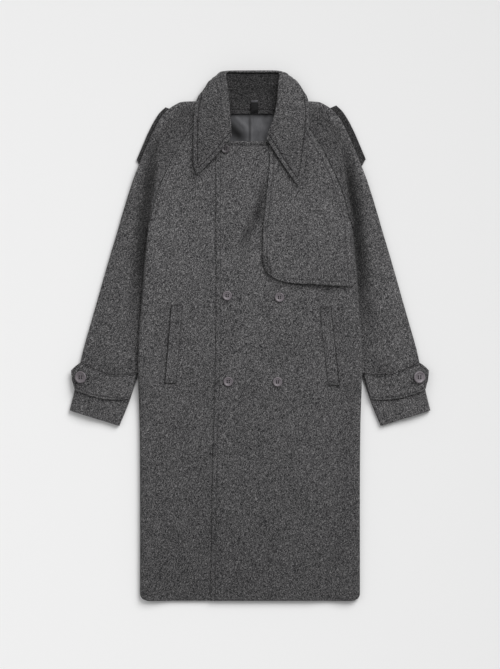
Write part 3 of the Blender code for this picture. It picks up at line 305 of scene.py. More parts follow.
# Lining, loop, pockets and straps
LINING_THICK = 0.0010
LINING_LEFT, LINING_RIGHT, LINING_FOOT, LINING_HEAD = -0.072, 0.064, 0.405, 0.536
PLEAT_X, PLEAT_HALF, PLEAT_HEIGHT = 0.0015, 0.0060, 0.0014
PLEAT_COLUMNS = [PLEAT_X - PLEAT_HALF, PLEAT_X, PLEAT_X + PLEAT_HALF]
LINING_COLUMNS = [LINING_LEFT, -0.040, -0.018, *PLEAT_COLUMNS, 0.022, 0.042, LINING_RIGHT]
LINING_LINES = np.linspace(LINING_FOOT, LINING_HEAD, 7)
LOOP_X, LOOP_WIDE, LOOP_THICK = 0.0110, 0.0170, 0.0016
LOOP_HEAD, LOOP_FOOT, LOOP_ARCH = 0.5640, 0.5330, 0.0040
LOOP_LINES, WELT_LINES, CUFF_LINES, STRAP_LINES = 7, 6, 6, 9  # rows of points on the small pieces
WELT_WIDE = 0.0280
WELT_NEAR = 0.85 * NEAR
WELTS = table("name side head_x head_y foot_x foot_y", [
    ("welt_r", "under", -0.1746, 0.0740, -0.1902, -0.1136),
    ("welt_l", "over", 0.1806, 0.0670, 0.2004, -0.1184),
])
# past is the share of its drop that the strap has made past the sleeve's crown
CUFF_STRAP = table("head_x head_y foot_x foot_y past", [
    (0.2720, -0.0880, 0.2890, -0.1520, 0.0),
    (0.2990, -0.0925, 0.3130, -0.1540, 0.0),
    (0.3300, -0.0930, 0.3430, -0.1520, 0.0),
    (0.3620, -0.0820, 0.3720, -0.1465, 0.0),
    (0.3890, -0.0705, 0.4000, -0.1375, 0.0),
    (0.4030, -0.0640, 0.4190, -0.1290, 0.25),
    (0.4170, -0.0720, 0.4235, -0.1150, 0.6),
    (0.4285, -0.0830, 0.4265, -0.1080, 1.0),
])
CUFF_TIP_DROP = 0.0055  # the pointed end hangs down this far past the sleeve's edge
CUFF_SEAT = DOUBLE + 2 * REST_GAP
CUFF_NEAR = 2 * NEAR
# Across a shoulder strap: inset is measured inwards from the shoulder's edge
SHOULDER_STRAP = table("inset underside", [
    (0.0300, 0.0000),
    (0.0110, 0.0000),
    (0.0020, 0.0004),
    (-0.0050, 0.0018),
    (-0.0100, 0.0040),
])
SHOULDER_EDGE = table("x y", [
    (0.1960, 0.5410),
    (0.2088, 0.5290),
    (0.2304, 0.4930),
    (0.2500, 0.4490),
    (0.2670, 0.4080),
])
STRAP_FURTHER = 0.0060  # the wearer's left one lies this much further out
STRAP_POINT = 0.0100  # the strap's neck end is cut to a point this long
STRAP_CORNER = 0.0100  # the corner that shows at its other end is cut off by this much

# Buttons: tilt is the turn of those that lie on the sleeve's falling edge
BUTTONS = table("name across tilt", [
    ("button_1", 0.0230, 0.0),
    ("button_2", 0.0230, 0.0),
    ("button_3", 0.0230, 0.0),
    ("button_4", 0.0230, 0.0),
    ("button_neck", 0.0200, 0.0),
    ("button_cuff_r", 0.0290, -0.33),
    ("button_cuff_l", 0.0290, 0.33),
])
BUTTON_THICK = 0.0042
HOLE_SPREAD = 0.15  # from the button's middle to a hole, in shares of its width

# The cloth as it is seen: finer points, rounded edges and soft creases
# Spacing of points on seen panels, hidden panels and small pieces
FINE, COARSE, TRIM = 0.0040, 0.0085, 0.0022
EDGE_ROUND, SEAM_ROUND = 0.0009, 0.0002  # how far a free edge and a seam's edge round in
RIM_ANGLES = np.radians([0.0, 45.0, 90.0, 135.0, 180.0])  # round a rim, from the outer face to the inner
MIDDLE_RINGS = len(RIM_ANGLES) - 2

# Creases: a soft ridge (height above 0) or trough along a line, half_wide across, fading out at both ends
CREASE = "x0 y0 x1 y1 half_wide height"
BODY_CREASES = table(CREASE, [
    (0.036, 0.350, -0.030, 0.165, 0.026, -0.0036),
    (-0.002, 0.340, -0.054, 0.205, 0.024, 0.0018),
    (0.160, 0.044, 0.020, -0.046, 0.026, 0.0042),
    (0.112, -0.048, 0.030, -0.092, 0.024, -0.0022),
    (0.205, -0.010, 0.150, 0.022, 0.020, 0.0016),
    (0.146, 0.360, 0.220, 0.215, 0.014, 0.0024),
    (0.118, 0.310, 0.172, 0.195, 0.024, 0.0022),
    (0.182, 0.345, 0.230, 0.250, 0.012, -0.0020),
    (-0.106, -0.060, -0.110, -0.150, 0.014, -0.0016),
    (-0.128, -0.080, -0.122, -0.190, 0.018, 0.0011),
    (-0.198, 0.335, -0.150, 0.180, 0.022, 0.0020),
    (-0.232, 0.250, -0.180, 0.130, 0.018, -0.0017),
    (-0.150, 0.120, -0.105, 0.030, 0.026, 0.0017),
    (-0.170, -0.180, -0.205, -0.360, 0.034, 0.0020),
    (-0.120, -0.240, -0.150, -0.520, 0.038, -0.0018),
    (0.110, -0.220, 0.130, -0.470, 0.042, 0.0020),
    (0.190, -0.190, 0.205, -0.420, 0.032, -0.0017),
    (0.020, -0.180, 0.004, -0.340, 0.034, -0.0015),
    (0.050, -0.360, 0.075, -0.600, 0.038, 0.0014),
])
SLEEVE_CREASES_R = table(CREASE, [
    (-0.214, 0.528, -0.219, 0.440, 0.008, 0.0016),
    (-0.252, 0.400, -0.286, 0.250, 0.014, 0.0014),
    (-0.268, 0.300, -0.300, 0.150, 0.012, -0.0013),
    (-0.330, 0.130, -0.282, 0.060, 0.015, 0.0016),
    (-0.352, 0.060, -0.300, 0.000, 0.013, -0.0014),
    (-0.372, 0.010, -0.322, -0.030, 0.014, 0.0011),
    (-0.396, -0.120, -0.404, -0.180, 0.016, -0.0010),
])
SLEEVE_CREASES_L = table(CREASE, [
    (0.213, 0.526, 0.221, 0.432, 0.008, 0.0016),
    (0.258, 0.390, 0.296, 0.225, 0.015, 0.0014),
    (0.272, 0.285, 0.296, 0.160, 0.012, -0.0012),
    (0.338, 0.110, 0.290, 0.030, 0.016, 0.0015),
    (0.362, 0.020, 0.316, -0.036, 0.013, -0.0013),
    (0.330, 0.190, 0.300, 0.120, 0.013, -0.0010),
    (0.400, -0.110, 0.392, -0.176, 0.016, -0.0010),
])
LINING_CREASES = table(CREASE, [
    (-0.042, 0.530, -0.004, 0.492, 0.008, 0.0018),
    (-0.020, 0.534, -0.004, 0.470, 0.007, 0.0010),
    (0.046, 0.526, 0.014, 0.478, 0.011, 0.0016),
    (0.030, 0.520, 0.020, 0.462, 0.006, 0.0010),
])
# Along the fold between the body and each arm, shared by the pieces on both sides of the raglan seam
SHOULDER_CREASES = table(CREASE, [
    (-0.211, 0.545, -0.229, 0.330, 0.011, 0.0018),
    (-0.230, 0.530, -0.252, 0.255, 0.015, -0.0026),
    (0.211, 0.545, 0.229, 0.330, 0.011, 0.0018),
    (0.230, 0.530, 0.252, 0.255, 0.015, -0.0026),
])
CREASE_ENDS = 0.35  # share of a crease's length over which each end fades
BETWEEN = (0.0, 0.25, 0.5, 0.75)  # an edge is measured from at these shares between its points too
FAR = 1.0  # what counts as the distance to an edge where there is none

# Topstitching
STITCH_IN = 0.0100  # from the sewn edge to its row of stitches
STITCH_PITCH, STITCH_LONG, STITCH_THICK = 0.0046, 0.0036, 0.0008
STITCH_SUNK = 0.0001
STITCH_SIDES, STITCH_RINGS = 6, 4
ROW_CLEAR = 0.93  # a row ends where another sewn edge is nearer than this share of its distance
SHORTEST_ROW = 3  # points
RAGLAN_STITCH_FOOT = ARMHOLE_FOOT_Y + 0.012
NARROW = 0.5  # straps and welts are stitched at this share of the distance
PANEL_GROOVE_SHADE, TRIM_GROOVE_SHADE = 0.60, 0.95  # how much painted shade darkens their stitched grooves

# Wool: sizes of its flecks, in metres
FLECK_WIDE, FLECK_LONG = 0.0030, 0.0056
ROW_APART, ROW_TURN = 0.0058, 0.5
CROSSING_APART, CROSSING_TURN = 0.0046, -0.9
ONE_ROW = math.pi / 10  # the scale at which a row of the wave is one unit wide
CURL, CURL_SIZE = 15.0, 2.2
FIBRE_WIDE, FIBRE_LONG = 0.0012, 0.0040
MOTTLE, MOTTLE_SHARE = 0.055, 0.05
PILE_SHARE, CROSSING_SHARE, FLECK_SHARE, FIBRE_SHARE = 0.20, 0.18, 0.28, 0.34
WOOL_STOPS = (0.30, 0.50, 0.72)  # where the mixed fibres are dark, middling and light
WOOL_DARK, WOOL_MID, WOOL_LIGHT = (0.007, 0.007, 0.008), (0.056, 0.055, 0.0565), (0.215, 0.210, 0.212)
STAND_SHADE = 0.42  # the inside of the collar is painted darker: painted shade in the hollow of the neck
NAP_HEIGHT = 0.0009
# the last colour here is painted shade in the grooves of the topstitching
GROOVE_HALF, GROOVE_DEPTH, GROOVE_PAINTED_SHADE = 0.0028, 0.9, (0.16, 0.16, 0.17, 1.0)
GRAIN_APART = 0.31
SLEEVE_TURN = 0.34  # a sleeve's grain runs down the arm
CROSS_TURN = math.pi / 2  # the collar is cut across the cloth
MOUTH_TONE, WELT_END_TONE, CUFF_EDGE_TONE = 0.12, 0.20, 0.15  # painted shade: lines painted as dark as this where a welt opens and at its ends, and along a cuff strap's edge
LOOP_TIP, LOOP_TIP_HIGHLIGHT = (0.5570, 0.5610), 9.0  # a painted highlight where the loop's end catches the light
PRESSED_SHADE = {"under": 0.50, "over": 0.90}  # painted shade along the welts' other edges, by the front they lie on
# A sleeve's edge is painted lighter, a painted highlight, where the shoulder strap lies under it. It begins
# between the heights of RIM_SPAN.
RIM_LIGHT, RIM_WIDE, RIM_SPAN = 0.55, 0.026, (0.33, 0.40)
STRAP_SHADE = 0.62  # the shoulder straps are painted darker: painted shade, as they lie in the shade of the shoulder
PRESS, PRESS_WIDE = 0.0022, 0.0060  # a welt is pressed down along one side
DENT, DENT_HALF = 0.0014, 0.0045  # topstitching pulls the layers of the collar, straps and welts together

# Painted light and shade: the cloth is painted darker down to the hem, on the shoulders and on the collar,
# and a little lighter on the chest. The fold beside the body is painted darker, as painted shade, by the
# share in hollow. These are a few round numbers.
PAINTED_TONES = table("y body sleeve collar hollow", [
    (-0.64, 0.80, 1.00, 1.00, 0.00),
    (-0.05, 1.00, 1.00, 1.00, 0.00),
    (0.20, 1.05, 1.00, 1.00, 0.70),
    (0.35, 1.05, 0.90, 0.90, 0.70),
    (0.50, 1.00, 0.70, 0.90, 0.00),
])
SHADED_FOLDS = table(CREASE, [  # like creases, but height is the share of the tone that is lost
    (0.034, 0.385, 0.016, 0.260, 0.014, 0.45),
    (0.028, 0.330, -0.026, 0.190, 0.022, 0.45),
    (0.028, 0.215, 0.052, 0.118, 0.014, 0.34),
    (0.030, 0.127, 0.290, 0.106, 0.012, 0.36),
    (-0.139, 0.470, -0.134, 0.350, 0.014, 0.36),
    (-0.140, 0.365, -0.060, 0.460, 0.014, 0.34),
    (0.030, 0.486, 0.124, 0.334, 0.014, 0.42),
    (0.124, 0.330, 0.146, 0.450, 0.012, 0.25),
    (-0.104, -0.050, -0.110, -0.160, 0.016, 0.18),
    (-0.100, 0.4580, 0.100, 0.4580, 0.0040, 0.60),
])
SHADED_LINING = table(CREASE, [
    (-0.074, 0.526, -0.002, 0.458, 0.024, 0.90),
    (-0.100, 0.531, 0.110, 0.531, 0.014, 0.50),
    (0.000, 0.540, 0.000, 0.440, 0.0045, 0.55),
    (0.040, 0.540, 0.034, 0.500, 0.012, 0.35),
])
# The fold's painted shade is this far outside the body's side, and fades this far to the body and to the arm
HOLLOW_OFF, HOLLOW_IN, HOLLOW_OUT = 0.010, 0.020, 0.035
DARKEST_FOLD, DARKEST_LINING = 0.30, 0.08

# Lining, tape and thread
SATIN_DARK, SATIN_LIGHT = (0.060, 0.060, 0.064), (0.108, 0.108, 0.114)
SATIN_THREAD_WIDE, SATIN_THREAD_LONG = 0.0006, 0.012
SATIN_DRIFT_WIDE, SATIN_DRIFT_LONG, SATIN_DRIFT_TURN = 0.020, 0.030, 0.3
THREAD_SHARE, DRIFT_SHARE = 0.35, 0.65
TAPE_DARK, TAPE_LIGHT = (0.003, 0.003, 0.003), (0.011, 0.011, 0.012)
TAPE_RIB_WIDE, TAPE_RIB_LONG = 0.010, 0.0012
SEWING_DARK, SEWING_LIGHT = (0.030, 0.030, 0.031), (0.075, 0.074, 0.075)
BUTTON_SEWING_DARK, BUTTON_SEWING_LIGHT = (0.008, 0.008, 0.009), (0.024, 0.023, 0.025)

# What shows of each cloth piece: the rectangle that it is cut from, its own area, and what it lies on
CUTS = table("names wide long area rests_on", [
    (["back"], 0.545, 1.180, 0.585, ["collar_fall"]),
    (["front_under"], 0.375, 1.180, 0.397, ["back"]),
    (["front_over"], 0.370, 1.180, 0.384, ["front_under", "back"]),
    (["storm_flap"], 0.220, 0.420, 0.0680, ["front_over"]),
    (["sleeve_front_r", "sleeve_front_l"], 0.175, 0.800, 0.0935, ["back"]),
    (["sleeve_back_r", "sleeve_back_l"], 0.172, 0.800, 0.0915, ["back"]),
    (["collar_fall"], 0.140, 0.620, 0.0660, ["front_under", "storm_flap"]),
    (["collar_stand"], 0.100, 0.250, 0.0150, ["lining"]),
    (["lining"], 0.146, 0.132, 0.0185, ["back"]),
    (["hanger_loop"], 0.017, 0.037, 0.00061, ["collar_stand"]),
    (["welt_r"], 0.028, 0.190, 0.0053, ["front_under"]),
    (["welt_l"], 0.028, 0.188, 0.0052, ["front_over"]),
    (["cuff_strap_r"], 0.067, 0.160, 0.0098, ["sleeve_front_r"]),
    (["cuff_strap_l"], 0.067, 0.160, 0.0098, ["sleeve_front_l"]),
    (["shoulder_strap_r", "shoulder_strap_l"], 0.041, 0.170, 0.0065, []),
])

# Buttons, across from the middle: share of the radius, and height in shares of the thickness
TURNED_SIDES = 48
BUTTON_PROFILE = table("reach height", [
    (0.00, 0.08),
    (0.60, 0.00),
    (0.86, 0.06),
    (0.97, 0.26),
    (1.00, 0.52),
    (0.97, 0.80),
    (0.90, 0.95),
    (0.83, 0.98),
    (0.76, 0.92),
    (0.69, 0.74),
    (0.62, 0.62),
    (0.45, 0.57),
    (0.00, 0.55),
])
HOLE_SIDES = 16
HOLE_WIDE = 0.0034
RIM_CREASE = math.radians(40.0)  # sharper edges of a button aren't smoothed
HORN_DARK, HORN_LIGHT = (0.100, 0.087, 0.097), (0.172, 0.154, 0.167)
NECK_HORN_SHADE = 0.40  # the neck button is painted darker: painted shadow of the collar leaf over it
SEW_THREAD, SEW_SIDES, SEW_STEP = 0.0007, 8, 0.0004
# Heights of a bar of thread, in shares of the button's thickness
SEW_FOOT, SEW_TURN, SEW_TOP = 0.25, 0.62, 0.72

# Camera and light
METRES_PER_PIXEL = 0.0024
PICTURE_TALL = 669
PICTURE_CENTRE_Y = 0.0030
LENS, SENSOR = 100.0, 36.0
FLOOR_HALF, FLOOR_Z = 40.0, -0.0004
FLOOR_FAR, FLOOR_NEAR = (1.0, 1.0, 1.0), (0.60, 0.60, 0.60)  # painted light: the floor is painted paler away from the key light, to even out its falloff
FLOOR_SPAN = 2.4
KEY_PLACE, KEY_SIZE, KEY_POWER = (2.6, 3.9, 4.2), 4.0, 380.0
FILL_PLACE, FILL_SIZE, FILL_POWER = (-2.6, 1.6, 3.4), 3.0, 30.0
SKY_STRENGTH = 0.39


def soft_step(value, start, end):
    """0 at start, 1 at end and a soft S between. start may be the larger."""
    share = np.clip((np.asarray(value, float) - start) / (end - start), 0.0, 1.0)
    return share * share * (3.0 - 2.0 * share)


def hermite(start, end, start_slope, end_slope, wide, t):
    """A soft curve from start to end, at the share t of its width."""
    return (
        start * (1 + 2 * t) * (1 - t) ** 2
        + wide * start_slope * t * (1 - t) ** 2
        + end * t * t * (3 - 2 * t)
        + wide * end_slope * t * t * (t - 1)
    )


def soft_curve(xs, ys, at):
    """Values of a curve through (xs, ys) that bends softly."""
    xs, ys, at = (np.asarray(a, float) for a in (xs, ys, at))
    rise = np.diff(ys) / np.diff(xs)
    slope = np.concatenate([rise[:1], (rise[1:] + rise[:-1]) / 2, rise[-1:]])
    turns = np.concatenate([[False], rise[1:] * rise[:-1] <= 0, [False]])
    slope[turns] = 0.0
    place = np.clip(np.searchsorted(xs, at, side="right") - 1, 0, len(xs) - 2)
    wide = xs[place + 1] - xs[place]
    t = np.clip((at - xs[place]) / wide, 0.0, 1.0)
    return hermite(ys[place], ys[place + 1], slope[place], slope[place + 1], wide, t)


def column(rows, name):
    return np.array([getattr(row, name) for row in rows])


def read_off(rows, name, y):
    """A column of a table at heights y."""
    return soft_curve(column(rows, "y"), column(rows, name), y)


def soft_path(points, shares, axes=2):
    """Points along a soft line through the given ones, at shares of its length over so many axes."""
    points = np.asarray(points, float)
    steps = np.linalg.norm(np.diff(points[:, :axes], axis=0), axis=1)
    run = np.concatenate([[0.0], np.cumsum(steps)]) / steps.sum()
    return np.stack([soft_curve(run, points[:, k], shares) for k in range(points.shape[1])], axis=-1)


def side_x(y):
    """The edge of the front and the back: the side fold, and above it the raglan seam."""
    seam = np.where(y < RAGLAN_SEAM[0].y, np.inf, read_off(RAGLAN_SEAM, "x", y))
    edge = np.minimum(read_off(SIDE_FOLD, "x", y), seam)
    above_hem = np.clip(np.asarray(y) - HEM_Y, 0.0, HEM_CORNER)
    return edge - (HEM_CORNER - np.sqrt(HEM_CORNER**2 - (HEM_CORNER - above_hem) ** 2))


def side_rolled(y):
    """1 where the side is a closed fold, 0 along the raglan seam."""
    return soft_step(y, ARMHOLE_FOOT_Y, SIDE_CLOSED_Y)


def ground(x, y):
    """What the back rests on: the floor, the tucked sleeves and the back of the collar."""
    across = np.abs(x)
    tuck_x = read_off(TUCKED_EDGE, "x", y)
    tuck = np.clip((across - (tuck_x - TUCK_RAMP)) / TUCK_RAMP, 0.0, 1.0)
    tuck = tuck * side_rolled(y) * soft_step(y, TUCK_END, TUCK_FULL)
    return TUCK_RISE * tuck + neck_ground(x, y)


def neck_ground(x, y):
    upwards = soft_step(y, NECK_STEP_FOOT, NECK_STEP_HEAD)
    return NECK_RISE * (upwards * soft_step(np.abs(x), NECK_STEP_WIDE, NECK_STEP_FULL))


def front_height(x, y):
    """The outer face of one front lying on the back."""
    fold = read_off(SIDE_FOLD, "x", y)
    swell = soft_step(np.abs(x), fold - SIDE_SWELL, fold - SIDE_ROLL)
    return ground(x, y) + MID_THICK + (SIDE_THICK - MID_THICK) * swell


def outward(grid):
    """Unit normals of a grid of points, from its rows and columns."""
    along = np.gradient(grid, axis=0, edge_order=2)
    across = np.gradient(grid, axis=1, edge_order=2)
    normal = np.cross(across, along)
    return normal / np.linalg.norm(normal, axis=2, keepdims=True)


def mirrored(grid):
    return np.asarray(grid) * (-1.0, 1.0, 1.0)


def circle(radius, z, sides):
    angles = 2 * math.pi * np.arange(sides) / sides
    return np.stack([radius * np.cos(angles), radius * np.sin(angles), np.full(sides, z)], axis=1)


def faces_of(*names):
    """The faces of the frame's pieces of these names, ready to be felt from above."""
    trees = []
    for name in names:
        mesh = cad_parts[name].data
        corners = [v.co for v in mesh.vertices]
        trees.append(BVHTree.FromPolygons(corners, [list(p.vertices) for p in mesh.polygons]))
    return trees


def top_of(trees, x, y):
    """The highest of these faces at a place, or the floor."""
    heights = [0.0]
    for tree in trees:
        place, _, _, _ = tree.ray_cast(Vector((x, y, 1.0)), Vector((0.0, 0.0, -1.0)))
        if place is not None:
            heights.append(place.z)
    return max(heights)


def tops_of(trees, plan, near=0.0):
    """top_of over a grid of places, taking the highest within a little way of each."""
    plan = np.asarray(plan, float)
    ring = [(near * c, near * s) for c, s, _ in circle(1.0, 0.0, FEELERS)] if near > 0 else []
    around = [(0.0, 0.0)] + ring
    places = plan.reshape(-1, plan.shape[-1])[:, :2]
    flat = [max(top_of(trees, x + dx, y + dy) for dx, dy in around) for x, y in places]
    return np.array(flat).reshape(plan.shape[:-1])


def rolled_columns(lengths, roll):
    """Shares across a row from its plain edge to its rolled one, and the angle of the roll at each."""
    start = 1.0 - roll / lengths
    shares = [start * p for p in PLAIN_SHARES]
    shares += [1.0 - roll / lengths * (1.0 - math.cos(a)) for a in ROLL_ANGLES]
    return np.stack(shares, axis=1), np.concatenate([np.full(len(PLAIN_SHARES), math.pi / 2), ROLL_ANGLES])


def four_sided(foot, head, left, right, us, vs):
    """Plan points inside four edges, each a function of a share from 0 to 1."""
    v = vs[..., None]
    u = us[..., None]
    corners = (1 - u) * (1 - v) * foot(np.zeros(1)) + u * (1 - v) * foot(np.ones(1))
    corners = corners + (1 - u) * v * head(np.zeros(1)) + u * v * head(np.ones(1))
    return (1 - v) * foot(us) + v * head(us) + (1 - u) * left(vs) + u * right(vs) - corners


def front_form(edge_x, neck_edge, step, flip):
    """One front, drawn with its side at +X. edge_x is its free edge, and neck_edge is its top from there."""
    rows = np.array(BODY_ROWS + [NECK_SIDE_Y])
    shares = (rows - HEM_Y) / (NECK_SIDE_Y - HEM_Y)
    head_y = neck_edge[0].y

    def free_edge(v):
        y = HEM_Y + v * (head_y - HEM_Y)
        return np.stack([edge_x(y), y], axis=-1)

    def side_edge(v):
        y = HEM_Y + v * (NECK_SIDE_Y - HEM_Y)
        return np.stack([side_x(y) - SEAM * (1.0 - side_rolled(y)), y], axis=-1)

    def foot(u):
        start, end = free_edge(np.zeros(1)), side_edge(np.zeros(1))
        return start + np.asarray(u)[..., None] * (end - start)

    def head(u):
        return soft_path(neck_edge, u)

    lengths = np.linalg.norm(side_edge(shares) - free_edge(shares), axis=1)
    us, angles = rolled_columns(lengths, np.minimum(SIDE_ROLL, MOST_ROLL * lengths))
    vs = np.repeat(shares[:, None], us.shape[1], axis=1)
    plan = four_sided(foot, head, free_edge, side_edge, us, vs)
    x, y = plan[..., 0], plan[..., 1]
    fall = side_rolled(y) * (SIDE_THICK / 2 - SEAM) * (1.0 - np.sin(angles))
    grid = np.dstack([x, y, front_height(x, y) + step(x) - fall])
    return mirrored(grid) if flip else grid


def front_under_form():
    return front_form(lambda y: np.full(np.shape(y), -OVERLAP_END), UNDER_NECK, lambda x: 0.0 * x, True)


def front_over_form():
    return front_form(
        lambda y: read_off(FRONT_EDGE, "x", y),
        OVER_NECK,
        lambda x: (WALL + REST_GAP) * soft_step(x, OVERLAP_SETTLED, OVERLAP_EASE),
        False,
    )


def back_form():
    """The back, its outer face down, with the sides rolled up to the side seams."""
    rows = np.array(BODY_ROWS + [BACK_NECK_Y])
    edge = side_x(rows) - 2 * SEAM * (1.0 - side_rolled(rows))
    ramp_foot = np.minimum(read_off(TUCKED_EDGE, "x", rows) - TUCK_RAMP, RAMP_FOOT_MOST * edge)
    ramp_head = np.minimum(ramp_foot + TUCK_RAMP, edge - RAMP_HEAD_IN * SIDE_ROLL)
    half = [0.0 * rows, 0.5 * ramp_foot, ramp_foot, ramp_head]
    flat_columns = len(half)
    half += [edge - SIDE_ROLL * (1.0 - math.cos(a)) for a in ROLL_ANGLES]
    half = np.stack(half, axis=1)
    sines = np.concatenate([np.ones(flat_columns), np.sin(ROLL_ANGLES)])
    x = np.concatenate([-half[:, :0:-1], half], axis=1)
    sines = np.concatenate([sines[:0:-1], sines])
    y = np.repeat(rows[:, None], x.shape[1], axis=1)
    rise = side_rolled(y) * (SIDE_THICK / 2 - SEAM) * (1.0 - sines)
    return np.dstack([x, y, ground(x, y) + rise])


def sleeve_ground(x, y):
    """What the sleeve rests on: the floor, and the shoulder strap under the shoulder's edge."""
    edge = np.array([(r.out_x, r.out_y) for r in SLEEVE_ROWS])
    shoulder = soft_step(y, STRAP_STEP_FOOT, STRAP_STEP_HEAD) * soft_step(x, STRAP_STEP_IN, STRAP_STEP_OUT)
    near = np.min(np.hypot(x[..., None] - edge[:, 0], y[..., None] - edge[:, 1]), axis=-1)
    strap = STRAP_RISE * shoulder * soft_step(near, STRAP_REACH, STRAP_REACH_FULL)
    return np.maximum(strap, neck_ground(x, y))


def sleeve_row(row):
    """Plan places across one row of a sleeve front, with its fold and the rolls of both edges."""
    in_x = row.in_x if row.drop else side_x(row.in_y) + SLEEVE_OFF_SEAM
    start, end = np.array([in_x, row.in_y]), np.array([row.out_x, row.out_y])
    long = np.linalg.norm(end - start)
    line = start + FOLD_SEARCH[:, None] * (end - start)
    beyond = np.nonzero(line[:, 0] > read_off(SIDE_FOLD, "x", line[:, 1]))[0]
    fold = FOLD_SEARCH[beyond[0]] if len(beyond) else FOLD_ABOVE_UNDERARM
    if row.roll > 0:
        fold = FOLD_AT_CUFF
    soft = FOLD_SOFT / long
    fold = max(fold, FOLD_ROOM * soft)
    in_roll = min(SLEEVE_ROLL / long, 0.5 * (fold - soft))
    out_roll = min(SLEEVE_ROLL / long, OUT_ROLL_MOST)
    angles = ROLL_ANGLES[::-1]
    inner = [in_roll * (1.0 - math.cos(a)) for a in angles]
    around_fold = [0.5 * (in_roll + fold - soft), fold - soft, fold, fold + soft]
    outer_start = 1.0 - out_roll
    top = [fold + soft + k * (outer_start - fold - soft) for k in FREE_SHARES]
    outer = [1.0 - out_roll * (1.0 - math.cos(a)) for a in ROLL_ANGLES]
    places = np.array(inner + around_fold + top + outer)
    level = np.ones(len(places) - len(angles))
    in_sines = np.concatenate([np.sin(angles), level])
    out_sines = np.concatenate([level, np.sin(ROLL_ANGLES)])
    plan = start + places[:, None] * (end - start)
    return plan, (places - fold) / (1.0 - fold), (1.0 - places) * long, in_sines, out_sines


def sleeve_front_heights(row, plan, past_fold, from_edge, in_sines, out_sines):
    x, y = plan[:, 0], plan[:, 1]
    valley, crest, edge = (read_off(SLEEVE_HEIGHTS, name, y) for name in ("valley", "crest", "edge"))
    outside = np.clip(past_fold, 0.0, 1.0)
    low = valley + (crest - valley) * soft_step(outside, 0.0, CREST_START)
    low = low - (crest - edge) * soft_step(outside, CREST_END, 1.0)
    tucked = row.drop * (1.0 - row.roll)
    low = low - tucked * (valley - UNDERARM_FLAT) * soft_step(past_fold, 0.0, past_fold[0] - 1e-6)
    raised = (1.0 - row.drop) * soft_step(x - read_off(SIDE_FOLD, "x", y), FOLD_SOFT, -FOLD_SOFT)
    high = front_height(x, y)
    low = low + sleeve_ground(x, y)
    z = low + raised * (high - low)
    rest = sleeve_ground(x, y)
    z = z + (edge + rest - z) * soft_step(from_edge, EDGE_EASE, SLEEVE_ROLL)
    seam = edge / 2 + rest + SEAM
    z = z - (1.0 - out_sines) * (z - seam)
    return z - row.roll * (1.0 - in_sines) * (z - (valley / 2 + SEAM / 2))


def sleeve_forms(flip):
    """The front and the back piece of one sleeve, sewn along the shoulder and under the arm."""
    front, under = [], []
    for row in SLEEVE_ROWS:
        plan, past_fold, from_edge, in_sines, out_sines = sleeve_row(row)
        z = sleeve_front_heights(row, plan, past_fold, from_edge, in_sines, out_sines)
        front.append(np.column_stack([plan, z]))
        some = SLEEVE_BACK_COLUMNS
        x, y = plan[some, 0], plan[some, 1]
        base = sleeve_ground(x, y)
        edge, valley = (read_off(SLEEVE_HEIGHTS, name, y) for name in ("edge", "valley"))
        rise = (1.0 - out_sines[some]) * (edge / 2 - SEAM)
        rise = rise + row.roll * (1.0 - in_sines[some]) * (valley / 2 - SEAM / 2)
        under.append(np.column_stack([x, y, base + rise]))
    front, under = np.array(front), np.array(under)
    return (mirrored(front), mirrored(under)) if flip else (front, under)


def storm_flap_form():
    """The flap on the wearer's left chest, caught in the neck and raglan seams, its other edges free."""
    trees = faces_of("front_over")
    foot_y = FLAP_FOOT_EDGE[-1].y

    def front_edge(v):
        return soft_path(FLAP_FRONT_EDGE[::-1], v)

    def foot_edge(u):
        return soft_path(FLAP_FOOT_EDGE, u)

    def side_edge(v):
        y = foot_y + np.asarray(v) * (NECK_SIDE_Y - FLAP_INSET - foot_y)
        inset = FLAP_INSET + SIDE_ROLL * side_rolled(y)
        lift = np.full(np.shape(y), FLAP_SIDE_LIFT)
        return np.stack([side_x(y) - inset, y, lift], axis=-1)

    def neck_edge(u):
        start, end = front_edge(np.ones(1))[0], side_edge(np.ones(1))[0]
        return soft_path([start, *FLAP_NECK_EDGE, end], u)

    us, vs = np.meshgrid(FLAP_COLUMNS, FLAP_LINES)
    grid = four_sided(foot_edge, neck_edge, front_edge, side_edge, us, vs)
    front_lift = front_edge(vs)[..., 2] * soft_step(us, FLAP_LIFT_ACROSS, 0.0)
    foot_lift = foot_edge(us)[..., 2] * soft_step(vs, FLAP_LIFT_UP, 0.0)
    edge_lift = np.maximum(front_lift, foot_lift)
    grid[..., 2] = tops_of(trees, grid, FLAP_NEAR) + REST_GAP + edge_lift + DOUBLE
    return grid


def collar_lines(rows, along, parts):
    """The lines of these parts of a collar, at places along it."""
    knots = np.linspace(0.0, 1.0, len(rows))
    lines = []
    for part in parts:
        axes = [soft_curve(knots, column(rows, part + axis), along) for axis in ("_x", "_y", "_z")]
        lines.append(np.stack(axes, axis=-1))
    return lines


def collar_fall_form():
    """The fall, from the right leaf's front edge round the back of the neck to the left leaf's."""
    trees = faces_of("front_under", "front_over", "storm_flap", "sleeve_front_r", "sleeve_front_l")
    roll, crown, edge = collar_lines(COLLAR_FALL, FALL_ALONG, ("roll", "crown", "edge"))
    inward = roll - crown
    inward[:, 2] = 0.0
    inward /= np.linalg.norm(inward, axis=1, keepdims=True)
    from_middle = np.abs(FALL_ALONG - 0.5)
    behind = soft_step(from_middle, LEAF_LIP_HALF, BACK_LIP_HALF)
    lip = roll + (LEAF_LIP + (BACK_LIP - LEAF_LIP) * behind)[:, None] * inward
    lip[:, 2] -= FALL_LIP_DROP
    grid = np.array([soft_path(row, FALL_ACROSS, axes=3) for row in zip(lip, roll, crown, edge)])
    facing_up = outward(grid)[..., 2] < LEAF_SLOPE
    clear = tops_of(trees, grid, LEAF_NEAR) + REST_GAP + DOUBLE
    leaf = facing_up & (from_middle > FALL_NECK_HALF)[:, None]
    grid[..., 2] = np.maximum(grid[..., 2], np.where(leaf, clear, 0.0))
    return grid


